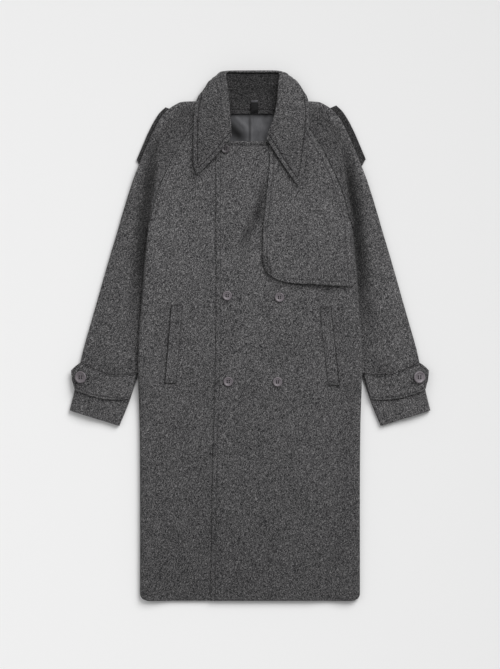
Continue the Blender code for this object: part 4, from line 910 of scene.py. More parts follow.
def collar_stand_form():
    top, foot = collar_lines(COLLAR_STAND, STAND_ALONG, ("top", "foot"))
    sag = STAND_HOLLOW * np.linalg.norm(top - foot, axis=1)
    grid = []
    for share in STAND_ACROSS:
        line = foot + share * (top - foot)
        line[:, 2] -= sag * 4 * share * (1 - share) * soft_step(share, SAG_NONE, SAG_FULL)
        grid.append(line)
    return np.array(grid)


def lining_form():
    """The lining where it shows in the neck, with its centre pleat."""
    trees = faces_of("back")
    x, y = np.meshgrid(LINING_COLUMNS, LINING_LINES)
    grid = np.dstack([x, y, np.zeros(x.shape)])
    pleat = PLEAT_HEIGHT * soft_step(np.abs(grid[..., 0] - PLEAT_X), PLEAT_HALF, 0.0)
    grid[..., 2] = tops_of(trees, grid, NEAR) + SEAM + LINING_THICK + pleat
    return grid


def hanger_loop_form():
    """A short tape that stands in an arch over the neck seam."""
    trees = faces_of("back", "lining", "collar_stand")
    grid = []
    for share in np.linspace(0.0, 1.0, LOOP_LINES):
        y = LOOP_FOOT + share * (LOOP_HEAD - LOOP_FOOT)
        line = np.array([[LOOP_X + k * LOOP_WIDE / 2, y, 0.0] for k in (-1.0, 0.0, 1.0)])
        arch = LOOP_ARCH * math.sin(math.pi * share)
        line[:, 2] = tops_of(trees, line, NEAR).max() + SEAM + LOOP_THICK + arch
        grid.append(line)
    return np.array(grid)


def welt_form(welt):
    trees = faces_of("front_" + welt.side)
    head, foot = np.array([welt.head_x, welt.head_y]), np.array([welt.foot_x, welt.foot_y])
    grid = []
    for share in np.linspace(0.0, 1.0, WELT_LINES):
        middle = foot + share * (head - foot)
        grid.append([(middle[0] + k * WELT_WIDE / 2, middle[1], 0.0) for k in (-1.0, 0.0, 1.0)])
    grid = np.array(grid)
    grid[..., 2] = tops_of(trees, grid, WELT_NEAR) + REST_GAP + WALL
    return grid


def cuff_strap_form(suffix, flip):
    """The strap round the cuff; its pointed end reaches past the sleeve's outer edge."""
    head = np.array([(r.head_x, r.head_y) for r in CUFF_STRAP])
    foot = np.array([(r.foot_x, r.foot_y) for r in CUFF_STRAP])
    across = np.linspace(0.0, 1.0, CUFF_LINES)[:, None, None]
    plan = foot + across * (head - foot)
    if flip:
        plan = plan * (-1.0, 1.0)
    heights = tops_of(faces_of("sleeve_front_" + suffix), plan, CUFF_NEAR) + CUFF_SEAT
    # Past the sleeve's crown the strap keeps its own line and hangs down a little at its point.
    past = column(CUFF_STRAP, "past")
    last_held = np.nonzero(past == 0)[0][-1]
    level = heights[:, last_held, None] - CUFF_TIP_DROP * past
    z = np.where(past > 0, level, heights)
    return np.dstack([plan, z])


def shoulder_strap_form(flip, further):
    """A pointed strap under the shoulder's edge. It shows outside it, and one lies further out."""
    edge = soft_path([(e.x, e.y) for e in SHOULDER_EDGE], np.linspace(0.0, 1.0, STRAP_LINES))
    along = np.gradient(edge, axis=0)
    along /= np.linalg.norm(along, axis=1, keepdims=True)
    inwards = np.stack([along[:, 1], -along[:, 0]], axis=1)
    insets = column(SHOULDER_STRAP, "inset")
    insets = insets - further * soft_step(insets, insets.max(), insets.min())
    middle = (insets.max() + insets.min()) / 2
    reach = np.abs(insets - middle) / np.ptp(insets) * 2
    grid = []
    for row in range(len(edge)):
        places = edge[row] + insets[:, None] * inwards[row]
        if row == 0:
            places = places - along[row] * STRAP_POINT * (1.0 - reach)[:, None]
        if row == len(edge) - 1:
            places = places - along[row] * STRAP_CORNER * soft_step(insets, insets[2], insets[4])[:, None]
        grid.append(np.column_stack([places, column(SHOULDER_STRAP, "underside")]))
    grid = np.array(grid)
    return mirrored(grid) if flip else grid


# Making the cloth finer
def gentle_slopes(values, run):
    """Slopes at the points of a line that never make it swing past them."""
    wide = np.diff(run).reshape((-1,) + (1,) * (values.ndim - 1))
    rise = np.diff(values, axis=0) / wide
    before, after = rise[:-1], rise[1:]
    weight_before, weight_after = 2 * wide[1:] + wide[:-1], wide[1:] + 2 * wide[:-1]
    same_way = before * after > 0
    safe_before, safe_after = np.where(same_way, before, 1.0), np.where(same_way, after, 1.0)
    mean = (weight_before + weight_after) / (weight_before / safe_before + weight_after / safe_after)
    return np.concatenate([rise[:1], np.where(same_way, mean, 0.0), rise[-1:]])


def refine_rows(grid, spacing):
    """More rows between those of a grid, on soft curves through its points."""
    steps = np.linalg.norm(np.diff(grid, axis=0), axis=2).mean(axis=1)
    run = np.concatenate([[0.0], np.cumsum(steps)])
    slopes = gentle_slopes(grid, run)
    fine = []
    for row, step in enumerate(steps):
        count = max(1, round(step / spacing))
        for t in np.arange(count) / count:
            fine.append(hermite(grid[row], grid[row + 1], slopes[row], slopes[row + 1], step, t))
    fine.append(grid[-1])
    return np.array(fine)


def refine(grid, spacing):
    rows = refine_rows(np.asarray(grid, float), spacing)
    return refine_rows(rows.swapaxes(0, 1), spacing).swapaxes(0, 1)


def crease_heights(creases, x, y):
    """The sum of these creases at places x, y."""
    total = np.zeros(np.shape(x))
    for c in creases:
        run = np.array([c.x1 - c.x0, c.y1 - c.y0])
        long = np.linalg.norm(run)
        along = ((x - c.x0) * run[0] + (y - c.y0) * run[1]) / long**2
        off = ((x - c.x0) * run[1] - (y - c.y0) * run[0]) / long
        ends = soft_step(along, 0.0, CREASE_ENDS) * soft_step(along, 1.0, 1.0 - CREASE_ENDS)
        total += c.height * ends * soft_step(np.abs(off), c.half_wide, 0.0)
    return total


SIDES = {
    "first_row": (slice(0, 1), slice(None)),
    "last_row": (slice(-1, None), slice(None)),
    "first_column": (slice(None), slice(0, 1)),
    "last_column": (slice(None), slice(-1, None)),
}


def edge_gaps(grid, sides, lowest_y):
    """How far each point is from these sides of its panel, counting only what lies above lowest_y."""
    ends = []
    for side in sides:
        line = grid[SIDES[side]].reshape(-1, 3)
        for share in BETWEEN:
            ends.extend(line[:-1] + share * (line[1:] - line[:-1]))
        ends.append(line[-1])
    ends = [p for p in ends if p[1] >= lowest_y]
    if not ends:
        return np.full(grid.shape[:2], FAR)
    tree = KDTree(len(ends))
    for index, point in enumerate(ends):
        tree.insert(point, index)
    tree.balance()
    flat = [tree.find(p)[2] for p in grid.reshape(-1, 3)]
    return np.array(flat).reshape(grid.shape[:2])


def inset_line(grid, normals, side, inset):
    """A line on a panel at a distance in from one of its sides."""
    if side in ("first_row", "last_row"):
        grid, normals = grid.swapaxes(0, 1), normals.swapaxes(0, 1)
    if side in ("last_row", "last_column"):
        grid, normals = grid[:, ::-1], normals[:, ::-1]
    steps = np.linalg.norm(np.diff(grid, axis=1), axis=2)
    run = np.concatenate([np.zeros((len(grid), 1)), np.cumsum(steps, axis=1)], axis=1)
    line, up = [], []
    for k in range(len(grid)):
        line.append([np.interp(inset, run[k], grid[k, :, axis]) for axis in range(3)])
        up.append([np.interp(inset, run[k], normals[k, :, axis]) for axis in range(3)])
    return np.array(line), np.array(up)


stitch_rows = []


def plan_stitches(grid, normals, sides, inset, lowest_y):
    """Keeps the rows of topstitching of a panel, each cut off where it meets the next."""
    for side in sides:
        line, up = inset_line(grid, normals, side, inset)
        ends = np.concatenate([grid[SIDES[s]].reshape(-1, 3) for s in sides])
        gaps = np.min(np.linalg.norm(line[:, None] - ends[None], axis=2), axis=1)
        keep = (gaps > ROW_CLEAR * inset) & (line[:, 1] > lowest_y)
        line = line - STITCH_SUNK * up
        breaks = np.nonzero(np.diff(keep))[0] + 1
        for stretch in np.split(np.arange(len(line)), breaks):
            if keep[stretch[0]] and len(stretch) >= SHORTEST_ROW:
                stitch_rows.append(line[stretch])


def rim_of(rows, columns):
    """The places round a grid's edge, and for each the place next to it further in."""
    rim = [((0, c), (1, c)) for c in range(columns)]
    rim += [((r, columns - 1), (r, columns - 2)) for r in range(1, rows)]
    rim += [((rows - 1, c), (rows - 2, c)) for c in range(columns - 2, -1, -1)]
    rim += [((r, 0), (r, 1)) for r in range(rows - 2, 0, -1)]
    return rim


def grain_of(grid, turn):
    """Places in the weave: the panel's own places, turned to its grain line and apart from other panels'."""
    x, y = grid[..., 0], grid[..., 1]
    across = x * math.cos(turn) + y * math.sin(turn)
    along = y * math.cos(turn) - x * math.sin(turn)
    return np.dstack([across, along, grid[..., 2] + GRAIN_APART * len(bpy.data.meshes)])


def painted_tone(x, y, lie):
    """How light the cloth is painted at places x, y: painted shade and painted highlights. lie names the
    tones that it takes.
    """
    if lie == "lining":
        return np.clip(1.0 - crease_heights(SHADED_LINING, x, y), DARKEST_LINING, 1.0)
    if lie == "loop":
        return 1.0 + (LOOP_TIP_HIGHLIGHT - 1.0) * soft_step(y, *LOOP_TIP)
    outside = np.abs(x) - read_off(SIDE_FOLD, "x", y) - HOLLOW_OFF
    fold = soft_step(outside, HOLLOW_OUT, 0.0) * soft_step(outside, -HOLLOW_IN, 0.0)
    tone = read_off(PAINTED_TONES, lie, y) * (1.0 - read_off(PAINTED_TONES, "hollow", y) * fold)
    if lie == "body":
        tone = tone * np.clip(1.0 - crease_heights(SHADED_FOLDS, x, y), DARKEST_FOLD, 1.0)
    return tone


# Laying the cloth
def rounded_shell(grid, normals, thick, flat_sides):
    """Points and faces of a wall behind a grid, with a rounded rim, and the grid's places round that rim."""
    rows, columns = grid.shape[:2]
    outer, inner = grid.copy(), grid - thick * normals
    places = rim_of(rows, columns)
    here = np.array([p for p, _ in places])
    within = np.array([q for _, q in places])
    for corner in (0, columns - 1, columns + rows - 2, 2 * columns + rows - 3):
        r, c = here[corner]
        within[corner] = (min(max(r, 1), rows - 2), min(max(c, 1), columns - 2))
    rim = (here[:, 0], here[:, 1])
    out = grid[rim] - grid[within[:, 0], within[:, 1]]
    out /= np.linalg.norm(out, axis=1, keepdims=True)
    in_seam = np.zeros((rows, columns), bool)
    for side in flat_sides:
        in_seam[SIDES[side]] = True
    rounded = np.where(in_seam[rim], SEAM_ROUND, EDGE_ROUND)[:, None]
    heart = grid[rim] - 0.5 * thick * normals[rim] - rounded * out
    rings = []
    for angle in RIM_ANGLES:
        up, outwards = 0.5 * thick * math.cos(angle), rounded * math.sin(angle)
        rings.append(heart + up * normals[rim] + outwards * out)
    outer[rim], inner[rim] = rings[0], rings[-1]

    size, around = rows * columns, len(places)
    index = np.arange(size).reshape(rows, columns)
    quads = np.stack([index[:-1, :-1], index[:-1, 1:], index[1:, 1:], index[1:, :-1]], axis=-1).reshape(-1, 4)
    loops = [index[rim]]
    loops += [2 * size + k * around + np.arange(around) for k in range(MIDDLE_RINGS)]
    loops.append(size + index[rim])
    faces = [quads, size + quads[:, ::-1]]
    for upper, lower in zip(loops, loops[1:]):
        faces.append(np.stack([np.roll(upper, -1), upper, lower, np.roll(lower, -1)], axis=-1))
    points = np.concatenate([outer.reshape(-1, 3), inner.reshape(-1, 3), *rings[1:-1]])
    return points, np.concatenate(faces), rim


def over_shell(outer, inner, rim):
    """A value for each point of a shell: those of its two faces, then the outer one's round the rim."""
    shape = (-1,) + outer.shape[2:]
    return np.concatenate([outer.reshape(shape), inner.reshape(shape)] + [outer[rim]] * MIDDLE_RINGS)


def new_piece(name, data):
    piece = bpy.data.objects.new(name, data)
    bpy.context.scene.collection.objects.link(piece)
    return piece


def apply_modifiers(piece):
    """Makes what a piece's modifiers give its own mesh, and smooths it."""
    graph = bpy.context.evaluated_depsgraph_get()
    piece_mesh = bpy.data.meshes.new_from_object(piece.evaluated_get(graph))
    piece.modifiers.clear()
    piece.data = piece_mesh
    piece_mesh.shade_smooth()
    return piece_mesh


def lay_cloth(name, form, thick, cloth, spacing=FINE, flip=False, creases=(), sewn=(), narrow=1.0,
              lowest_y=-1.0, turn=0.0, lie="body", flat_sides=(), dark_sides=None, lit_side=None,
              pressed=None):
    """One cloth piece that stands for the solid of its name.

    sewn names its topstitched sides, and flat_sides those that are closed into a seam. dark_sides gives the
    tone of edges painted as a dark line of shade, and lit_side is painted lighter as a highlight. A welt is
    pressed down on to the front at one side.
    """
    grid = refine(form, spacing)
    grid[..., 2] += crease_heights(creases, grid[..., 0], grid[..., 1])
    if pressed:
        grid[..., 2] -= PRESS * soft_step(edge_gaps(grid, (pressed,), lowest_y), PRESS_WIDE, 0.0)
    normals = outward(grid) * (-1.0 if flip else 1.0)
    gaps = edge_gaps(grid, sewn, lowest_y)
    if spacing <= TRIM:
        pulled = np.clip(1.0 - np.abs(gaps / narrow - STITCH_IN) / DENT_HALF, 0.0, 1.0)
        grid = grid - DENT * (pulled * pulled)[..., None] * normals
    plan_stitches(grid, normals, sewn, STITCH_IN * narrow, lowest_y)
    grain = grain_of(grid, turn)
    points, faces, rim = rounded_shell(grid, normals, thick, flat_sides)
    if flip:
        faces = faces[:, ::-1]

    # painted shade lines and a painted highlight along some edges of the piece
    edge_tone = np.ones(grid.shape[:2])
    if lit_side:
        from_side = edge_gaps(grid, (lit_side,), lowest_y)
        edge_tone += RIM_LIGHT * soft_step(from_side, RIM_WIDE, 0.0) * soft_step(grid[..., 1], *RIM_SPAN)
    for side, tone in (dark_sides or {}).items():
        edge_tone[SIDES[side]] = tone
    grains = over_shell(grain, grain, rim)
    edges = over_shell(gaps, np.full(gaps.shape, FAR), rim) / narrow
    tones = painted_tone(points[:, 0], points[:, 1], lie) * over_shell(edge_tone, edge_tone, rim)

    mesh = bpy.data.meshes.new(name)
    mesh.from_pydata(points.tolist(), [], faces.tolist())
    mesh.attributes.new("grain", "FLOAT_VECTOR", "POINT").data.foreach_set("vector", grains.ravel())
    for label, values in (("edge", edges), ("tone", tones)):
        mesh.attributes.new(label, "FLOAT", "POINT").data.foreach_set("value", values)
    mesh.shade_smooth()
    mesh.materials.append(cloth)
    piece = new_piece(name + "_cloth", mesh)
    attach(piece, "root")
    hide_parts(name)
    return piece


# Materials
def new_material(name):
    material = bpy.data.materials.new(name)
    material.use_nodes = True
    return material, material.node_tree, material.node_tree.nodes["Principled BSDF"]


def put(tree, socket, value):
    """Sets a socket to a value, or links it where the value is another node's socket."""
    if isinstance(value, bpy.types.NodeSocket):
        tree.links.new(value, socket)
    else:
        socket.default_value = value


def add_node(tree, kind, **values):
    """A shader node with its inputs put by name, or by number as i0, i1 and so on."""
    node = tree.nodes.new(kind)
    for key, value in values.items():
        numbered = key[0] == "i" and key[1:].isdigit()
        put(tree, node.inputs[int(key[1:]) if numbered else key.replace("_", " ").title()], value)
    return node


def attribute(tree, name, output):
    """What the cloth's points have under this name."""
    node = add_node(tree, "ShaderNodeAttribute")
    node.attribute_name = name
    return node.outputs[output]


def maths(tree, operation, first, second=0.0, clamp=False):
    node = add_node(tree, "ShaderNodeMath", i0=first, i1=second)
    node.operation = operation
    node.use_clamp = clamp
    return node.outputs[0]


def weighted(tree, parts):
    """The sum of values, each times its weight."""
    products = [maths(tree, "MULTIPLY", value, weight) for value, weight in parts]
    total = products[0]
    for product in products[1:]:
        total = maths(tree, "ADD", total, product)
    return total


def multiplied(tree, colour, by, share):
    """A colour multiplied by another, by a share from 0 to 1."""
    mix = add_node(tree, "ShaderNodeMix")
    mix.data_type = "RGBA"
    mix.blend_type = "MULTIPLY"
    for number, value in ((0, share), (6, colour), (7, by)):
        put(tree, mix.inputs[number], value)
    return mix.outputs[2]


def toned(tree, colour):
    """A colour made darker or lighter by the painted light and shade in the tone of the place on the cloth.
    """
    return multiplied(tree, colour, attribute(tree, "tone", "Color"), 1.0)


def stretched_noise(tree, place, wide, long, turn=0.0, detail=2.0, distortion=0.0):
    """Noise whose spots are wide by long metres, turned on the cloth."""
    mapping = add_node(tree, "ShaderNodeMapping", vector=place, rotation=(0.0, 0.0, turn),
                       scale=(1.0 / wide, 1.0 / long, 1.0 / wide))
    noise = add_node(tree, "ShaderNodeTexNoise", vector=mapping.outputs[0], scale=1.0, detail=detail,
                     roughness=0.55, distortion=distortion)
    return noise.outputs[0]


def curled_rows(tree, place, apart, turn):
    """Rows of pile apart metres from each other, curled up so that they read as short worms."""
    mapping = add_node(tree, "ShaderNodeMapping", vector=place, rotation=(0.0, 0.0, turn),
                       scale=(1.0 / apart, 1.0 / apart, 1.0 / apart))
    rows = add_node(tree, "ShaderNodeTexWave", vector=mapping.outputs[0], scale=ONE_ROW, distortion=CURL,
                    detail=2.0, detail_scale=CURL_SIZE)
    return rows.outputs["Fac"]


def colour_ramp(tree, value, stops):
    ramp = add_node(tree, "ShaderNodeValToRGB", i0=value)
    elements = ramp.color_ramp.elements
    while len(elements) < len(stops):
        elements.new(0.5)
    for element, (place, colour) in zip(elements, stops):
        element.position = place
        element.color = (*colour, 1.0)
    return ramp.outputs[0]


def bumped(tree, height, strength, distance):
    return add_node(tree, "ShaderNodeBump", strength=strength, distance=distance, height=height).outputs[0]


def ranged(tree, noise, low, high):
    """A value from low to high, over the middle part of a noise."""
    return add_node(tree, "ShaderNodeMapRange", i0=noise, i1=0.3, i2=0.7, i3=low, i4=high).outputs[0]


def finish_surface(tree, shader, looks):
    for name, value in looks.items():
        put(tree, shader.inputs[name], value)


def shaded(shade, *colours):
    return [tuple(shade * c for c in colour) for colour in colours]


def wool_material(name, shade=1.0, sewn=TRIM_GROOVE_SHADE, rows=1):
    """Brushed melange coating: leaning flecks of dark and light fibre, a raised nap, painted shade in
    stitched grooves.
    """
    material, tree, shader = new_material(name)
    colours = shaded(shade, WOOL_DARK, WOOL_MID, WOOL_LIGHT)
    place = attribute(tree, "grain", "Vector")
    pile = curled_rows(tree, place, ROW_APART, ROW_TURN)
    crossing = curled_rows(tree, place, CROSSING_APART, CROSSING_TURN)
    flecks = stretched_noise(tree, place, FLECK_WIDE, FLECK_LONG, turn=0.12, distortion=1.1)
    fibres = stretched_noise(tree, place, FIBRE_WIDE, FIBRE_LONG, turn=-0.2, detail=1.0, distortion=0.4)
    mottle = stretched_noise(tree, place, MOTTLE, MOTTLE)
    blend = weighted(tree, [
        (pile, PILE_SHARE),
        (crossing, CROSSING_SHARE),
        (flecks, FLECK_SHARE),
        (fibres, FIBRE_SHARE),
    ])
    drift = maths(tree, "MULTIPLY", maths(tree, "SUBTRACT", mottle, 0.5), MOTTLE_SHARE)
    colour = colour_ramp(tree, maths(tree, "ADD", blend, drift), list(zip(WOOL_STOPS, colours)))

    gap = attribute(tree, "edge", "Fac")
    nearest = FAR
    for row in range(1, rows + 1):
        from_row = maths(tree, "ABSOLUTE", maths(tree, "SUBTRACT", gap, row * STITCH_IN))
        nearest = maths(tree, "MINIMUM", from_row, nearest)
    # painted shade darkens the cloth along each row of stitches
    groove = maths(tree, "SUBTRACT", 1.0, maths(tree, "DIVIDE", nearest, GROOVE_HALF), clamp=True)
    groove = maths(tree, "MULTIPLY", groove, groove)
    colour = multiplied(tree, colour, GROOVE_PAINTED_SHADE, maths(tree, "MULTIPLY", groove, sewn))
    nap = weighted(tree, [(blend, 1.0), (groove, -GROOVE_DEPTH)])
    finish_surface(tree, shader, {
        "Base Color": toned(tree, colour),
        "Normal": bumped(tree, nap, strength=0.75, distance=NAP_HEIGHT),
        "Roughness": ranged(tree, fibres, 0.82, 1.0),
        "Specular IOR Level": 0.18,
        "Sheen Weight": 0.10,
        "Sheen Roughness": 0.45,
    })
    return material


def satin_material():
    """Lining: a smooth warp-faced weave with a soft shine along its threads."""
    material, tree, shader = new_material("lining_satin")
    place = attribute(tree, "grain", "Vector")
    threads = stretched_noise(tree, place, SATIN_THREAD_WIDE, SATIN_THREAD_LONG, detail=1.0)
    drift = stretched_noise(tree, place, SATIN_DRIFT_WIDE, SATIN_DRIFT_LONG, SATIN_DRIFT_TURN)
    both = weighted(tree, [(threads, THREAD_SHARE), (drift, DRIFT_SHARE)])
    finish_surface(tree, shader, {
        "Base Color": toned(tree, colour_ramp(tree, both, [(0.30, SATIN_DARK), (0.70, SATIN_LIGHT)])),
        "Normal": bumped(tree, both, strength=0.35, distance=0.0008),
        "Roughness": ranged(tree, threads, 0.40, 0.56),
        "Specular IOR Level": 0.12,
        "Anisotropic": 0.5,
    })
    return material


def tape_material():
    """Hanger loop: a black woven tape."""
    material, tree, shader = new_material("woven_tape")
    place = attribute(tree, "grain", "Vector")
    ribs = stretched_noise(tree, place, TAPE_RIB_WIDE, TAPE_RIB_LONG, detail=1.0)
    finish_surface(tree, shader, {
        "Base Color": toned(tree, colour_ramp(tree, ribs, [(0.35, TAPE_DARK), (0.65, TAPE_LIGHT)])),
        "Normal": bumped(tree, ribs, strength=0.8, distance=0.0005),
        "Roughness": 0.85,
        "Specular IOR Level": 0.2,
    })
    return material


def horn_material(name, shade=1.0):
    """Buttons: mauve-grey moulded horn look, faintly clouded."""
    material, tree, shader = new_material(name)
    dark, light = shaded(shade, HORN_DARK, HORN_LIGHT)
    place = add_node(tree, "ShaderNodeTexCoord").outputs["Object"]
    clouds = add_node(tree, "ShaderNodeTexNoise", vector=place, scale=160.0, detail=4.0, roughness=0.6,
                      distortion=1.2).outputs[0]
    finish_surface(tree, shader, {
        "Base Color": colour_ramp(tree, clouds, [(0.30, dark), (0.70, light)]),
        "Normal": bumped(tree, clouds, strength=0.15, distance=0.0002),
        "Roughness": ranged(tree, clouds, 0.34, 0.52),
    })
    return material


def thread_material(name, dark, light):
    material, tree, shader = new_material(name)
    place = add_node(tree, "ShaderNodeTexCoord").outputs["Object"]
    twist = add_node(tree, "ShaderNodeTexNoise", vector=place, scale=900.0, detail=1.0).outputs[0]
    finish_surface(tree, shader, {
        "Base Color": colour_ramp(tree, twist, [(0.35, dark), (0.65, light)]),
        "Normal": bumped(tree, twist, strength=0.5, distance=0.0002),
        "Roughness": 0.8,
    })
    return material


def floor_material():
    material, tree, shader = new_material("pale_floor")
    place = add_node(tree, "ShaderNodeTexCoord").outputs["Object"]
    towards_key = math.atan2(KEY_PLACE[1], KEY_PLACE[0])
    along = add_node(tree, "ShaderNodeMapping", vector=place, location=(0.5, 0.0, 0.0),
                     rotation=(0.0, 0.0, -towards_key), scale=(1.0 / FLOOR_SPAN,) * 3)
    share = add_node(tree, "ShaderNodeTexGradient", vector=along.outputs[0]).outputs["Fac"]
    finish_surface(tree, shader, {
        "Base Color": colour_ramp(tree, share, [(0.0, FLOOR_FAR), (1.0, FLOOR_NEAR)]),
        "Roughness": 0.9,
    })
    return material


# Stitches
def stitch_tree(thread):
    """Lays a stitch at every pitch along lines: resampled curves carry one small spindle each."""
    tree = bpy.data.node_groups.new("topstitching", "GeometryNodeTree")
    interface, nodes = tree.interface, tree.nodes
    interface.new_socket("Lines", in_out="INPUT", socket_type="NodeSocketGeometry")
    for label in ("Pitch", "Stitch Length", "Thread Thickness"):
        interface.new_socket(label, in_out="INPUT", socket_type="NodeSocketFloat")
    interface.new_socket("Stitches", in_out="OUTPUT", socket_type="NodeSocketGeometry")
    given, made = nodes.new("NodeGroupInput"), nodes.new("NodeGroupOutput")
    curve = nodes.new("GeometryNodeMeshToCurve")
    spaced = nodes.new("GeometryNodeResampleCurve")
    spaced.mode = "LENGTH"
    spindle = nodes.new("GeometryNodeMeshUVSphere")
    spindle.inputs["Segments"].default_value = STITCH_SIDES
    spindle.inputs["Rings"].default_value = STITCH_RINGS
    spindle.inputs["Radius"].default_value = 0.5
    size = nodes.new("ShaderNodeCombineXYZ")
    tangent = nodes.new("GeometryNodeInputTangent")
    turn = nodes.new("FunctionNodeAlignRotationToVector")
    turn.axis = "Z"
    placed = nodes.new("GeometryNodeInstanceOnPoints")
    real = nodes.new("GeometryNodeRealizeInstances")
    dressed = nodes.new("GeometryNodeSetMaterial")
    dressed.inputs["Material"].default_value = thread
    for source, output, target, socket in [
        (given, "Lines", curve, 0),
        (curve, 0, spaced, "Curve"),
        (given, "Pitch", spaced, "Length"),
        (given, "Thread Thickness", size, 0),
        (given, "Thread Thickness", size, 1),
        (given, "Stitch Length", size, 2),
        (tangent, 0, turn, "Vector"),
        (spaced, 0, placed, "Points"),
        (spindle, 0, placed, "Instance"),
        (turn, 0, placed, "Rotation"),
        (size, 0, placed, "Scale"),
        (placed, 0, real, 0),
        (real, 0, dressed, 0),
        (dressed, 0, made, 0),
    ]:
        tree.links.new(source.outputs[output], target.inputs[socket])
    return tree


def add_topstitching(thread):
    """All the rows of topstitching, as one plain mesh."""
    points, lines = [], []
    for row in stitch_rows:
        first = len(points)
        points.extend(row.tolist())
        lines.extend((k, k + 1) for k in range(first, len(points) - 1))
    mesh = bpy.data.meshes.new("stitch_lines")
    mesh.from_pydata(points, lines, [])
    piece = new_piece("topstitching", mesh)
    tree = stitch_tree(thread)
    laid = piece.modifiers.new("topstitching", "NODES")
    laid.node_group = tree
    sizes = {"Pitch": STITCH_PITCH, "Stitch Length": STITCH_LONG, "Thread Thickness": STITCH_THICK}
    for item in tree.interface.items_tree:
        if item.name in sizes:
            laid[item.identifier] = sizes[item.name]
    apply_modifiers(piece)
    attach(piece, "root")


# Buttons
def turned_mesh(name, rings):
    """A closed turned shape from rings of points; a ring of no radius closes in one point."""
    points, loops = [], []
    for ring in rings:
        if np.ptp(ring[:, 0]) < 1e-9:
            loops.append([len(points)] * len(ring))
            points.append(ring[0])
        else:
            loops.append(list(range(len(points), len(points) + len(ring))))
            points.extend(ring)
    faces = []
    for low, high in zip(loops, loops[1:]):
        for k in range(len(low)):
            after = (k + 1) % len(low)
            corners = [low[k], low[after], high[after], high[k]]
            faces.append(list(dict.fromkeys(corners)))
    mesh = bpy.data.meshes.new(name)
    mesh.from_pydata([tuple(p) for p in points], [], faces)
    return mesh


def add_drill(x, y):
    """A rod that is taken out of a button to leave a hole."""
    low, high = -BUTTON_THICK, 2 * BUTTON_THICK
    profile = [(0.0, low), (HOLE_WIDE / 2, low), (HOLE_WIDE / 2, high), (0.0, high)]
    rings = [circle(radius, z, HOLE_SIDES) + (x, y, 0.0) for radius, z in profile]
    return new_piece("drill", turned_mesh("drill", rings))


def add_button(button, horn, thread):
    """A turned button with a raised rim, four holes and two bars of thread, in the place of its solid."""
    radius = button.across / 2
    rings = [circle(radius * r.reach, BUTTON_THICK * r.height, TURNED_SIDES) for r in BUTTON_PROFILE]
    piece = new_piece(button.name + "_turned", turned_mesh(button.name, rings))
    piece.data.materials.append(horn)
    spread = HOLE_SPREAD * button.across
    angles = math.pi / 4 + np.arange(4) * math.pi / 2
    corners = [(spread * math.cos(a), spread * math.sin(a)) for a in angles]
    drills = [add_drill(x, y) for x, y in corners]
    for drill in drills:
        hole = piece.modifiers.new("hole", "BOOLEAN")
        hole.operation = "DIFFERENCE"
        hole.solver = "EXACT"
        hole.object = drill
    turned = apply_modifiers(piece)
    for drill in drills:
        bpy.data.objects.remove(drill)
    turned.set_sharp_from_angle(angle=RIM_CREASE)
    place = button_place(button)
    turned.transform(place)
    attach(piece, "root")
    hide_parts(button.name)
    bars = add_sewing(button.name + "_thread", corners, thread)
    bars.data.transform(place)
    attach(bars, "root")


def button_place(button):
    """Turns a button made at the origin to the middle of its solid's box."""
    low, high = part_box(button.name)
    middle = [(a + b) / 2 for a, b in zip(low, high)]
    turned = Matrix.Rotation(button.tilt, 4, "Y")
    heart = turned @ Vector((0.0, 0.0, BUTTON_THICK / 2))
    return Matrix.Translation(Vector(middle) - heart) @ turned


def add_sewing(name, corners, thread):
    """Two bars of thread, each from one hole up and over to the next."""
    foot, turn, top = (share * BUTTON_THICK for share in (SEW_FOOT, SEW_TURN, SEW_TOP))
    points, faces = [], []
    for start, end in ((corners[0], corners[3]), (corners[1], corners[2])):
        middle = ((start[0] + end[0]) / 2, (start[1] + end[1]) / 2)
        path = [(*start, foot), (*start, turn), (*middle, top), (*end, turn), (*end, foot)]
        line = refine_rows(np.array(path)[:, None, :], SEW_STEP)[:, 0]
        along = np.gradient(line, axis=0)
        along /= np.linalg.norm(along, axis=1, keepdims=True)
        side = np.cross(along, (1.0, 0.0, 0.0))
        side /= np.linalg.norm(side, axis=1, keepdims=True)
        up = np.cross(along, side)
        first = len(points)
        for p, a, b in zip(line, side, up):
            for c, s, _ in circle(SEW_THREAD, 0.0, SEW_SIDES):
                points.append(p + c * a + s * b)
        for row in range(len(line) - 1):
            low, high = first + row * SEW_SIDES, first + (row + 1) * SEW_SIDES
            for k in range(SEW_SIDES):
                after = (k + 1) % SEW_SIDES
                faces.append([low + k, low + after, high + after, high + k])
        faces.append(list(range(first + SEW_SIDES - 1, first - 1, -1)))
        last = first + (len(line) - 1) * SEW_SIDES
        faces.append(list(range(last, last + SEW_SIDES)))
    mesh = bpy.data.meshes.new(name)
    mesh.from_pydata([tuple(p) for p in points], [], faces)
    mesh.materials.append(thread)
    mesh.shade_smooth()
    return new_piece(name, mesh)


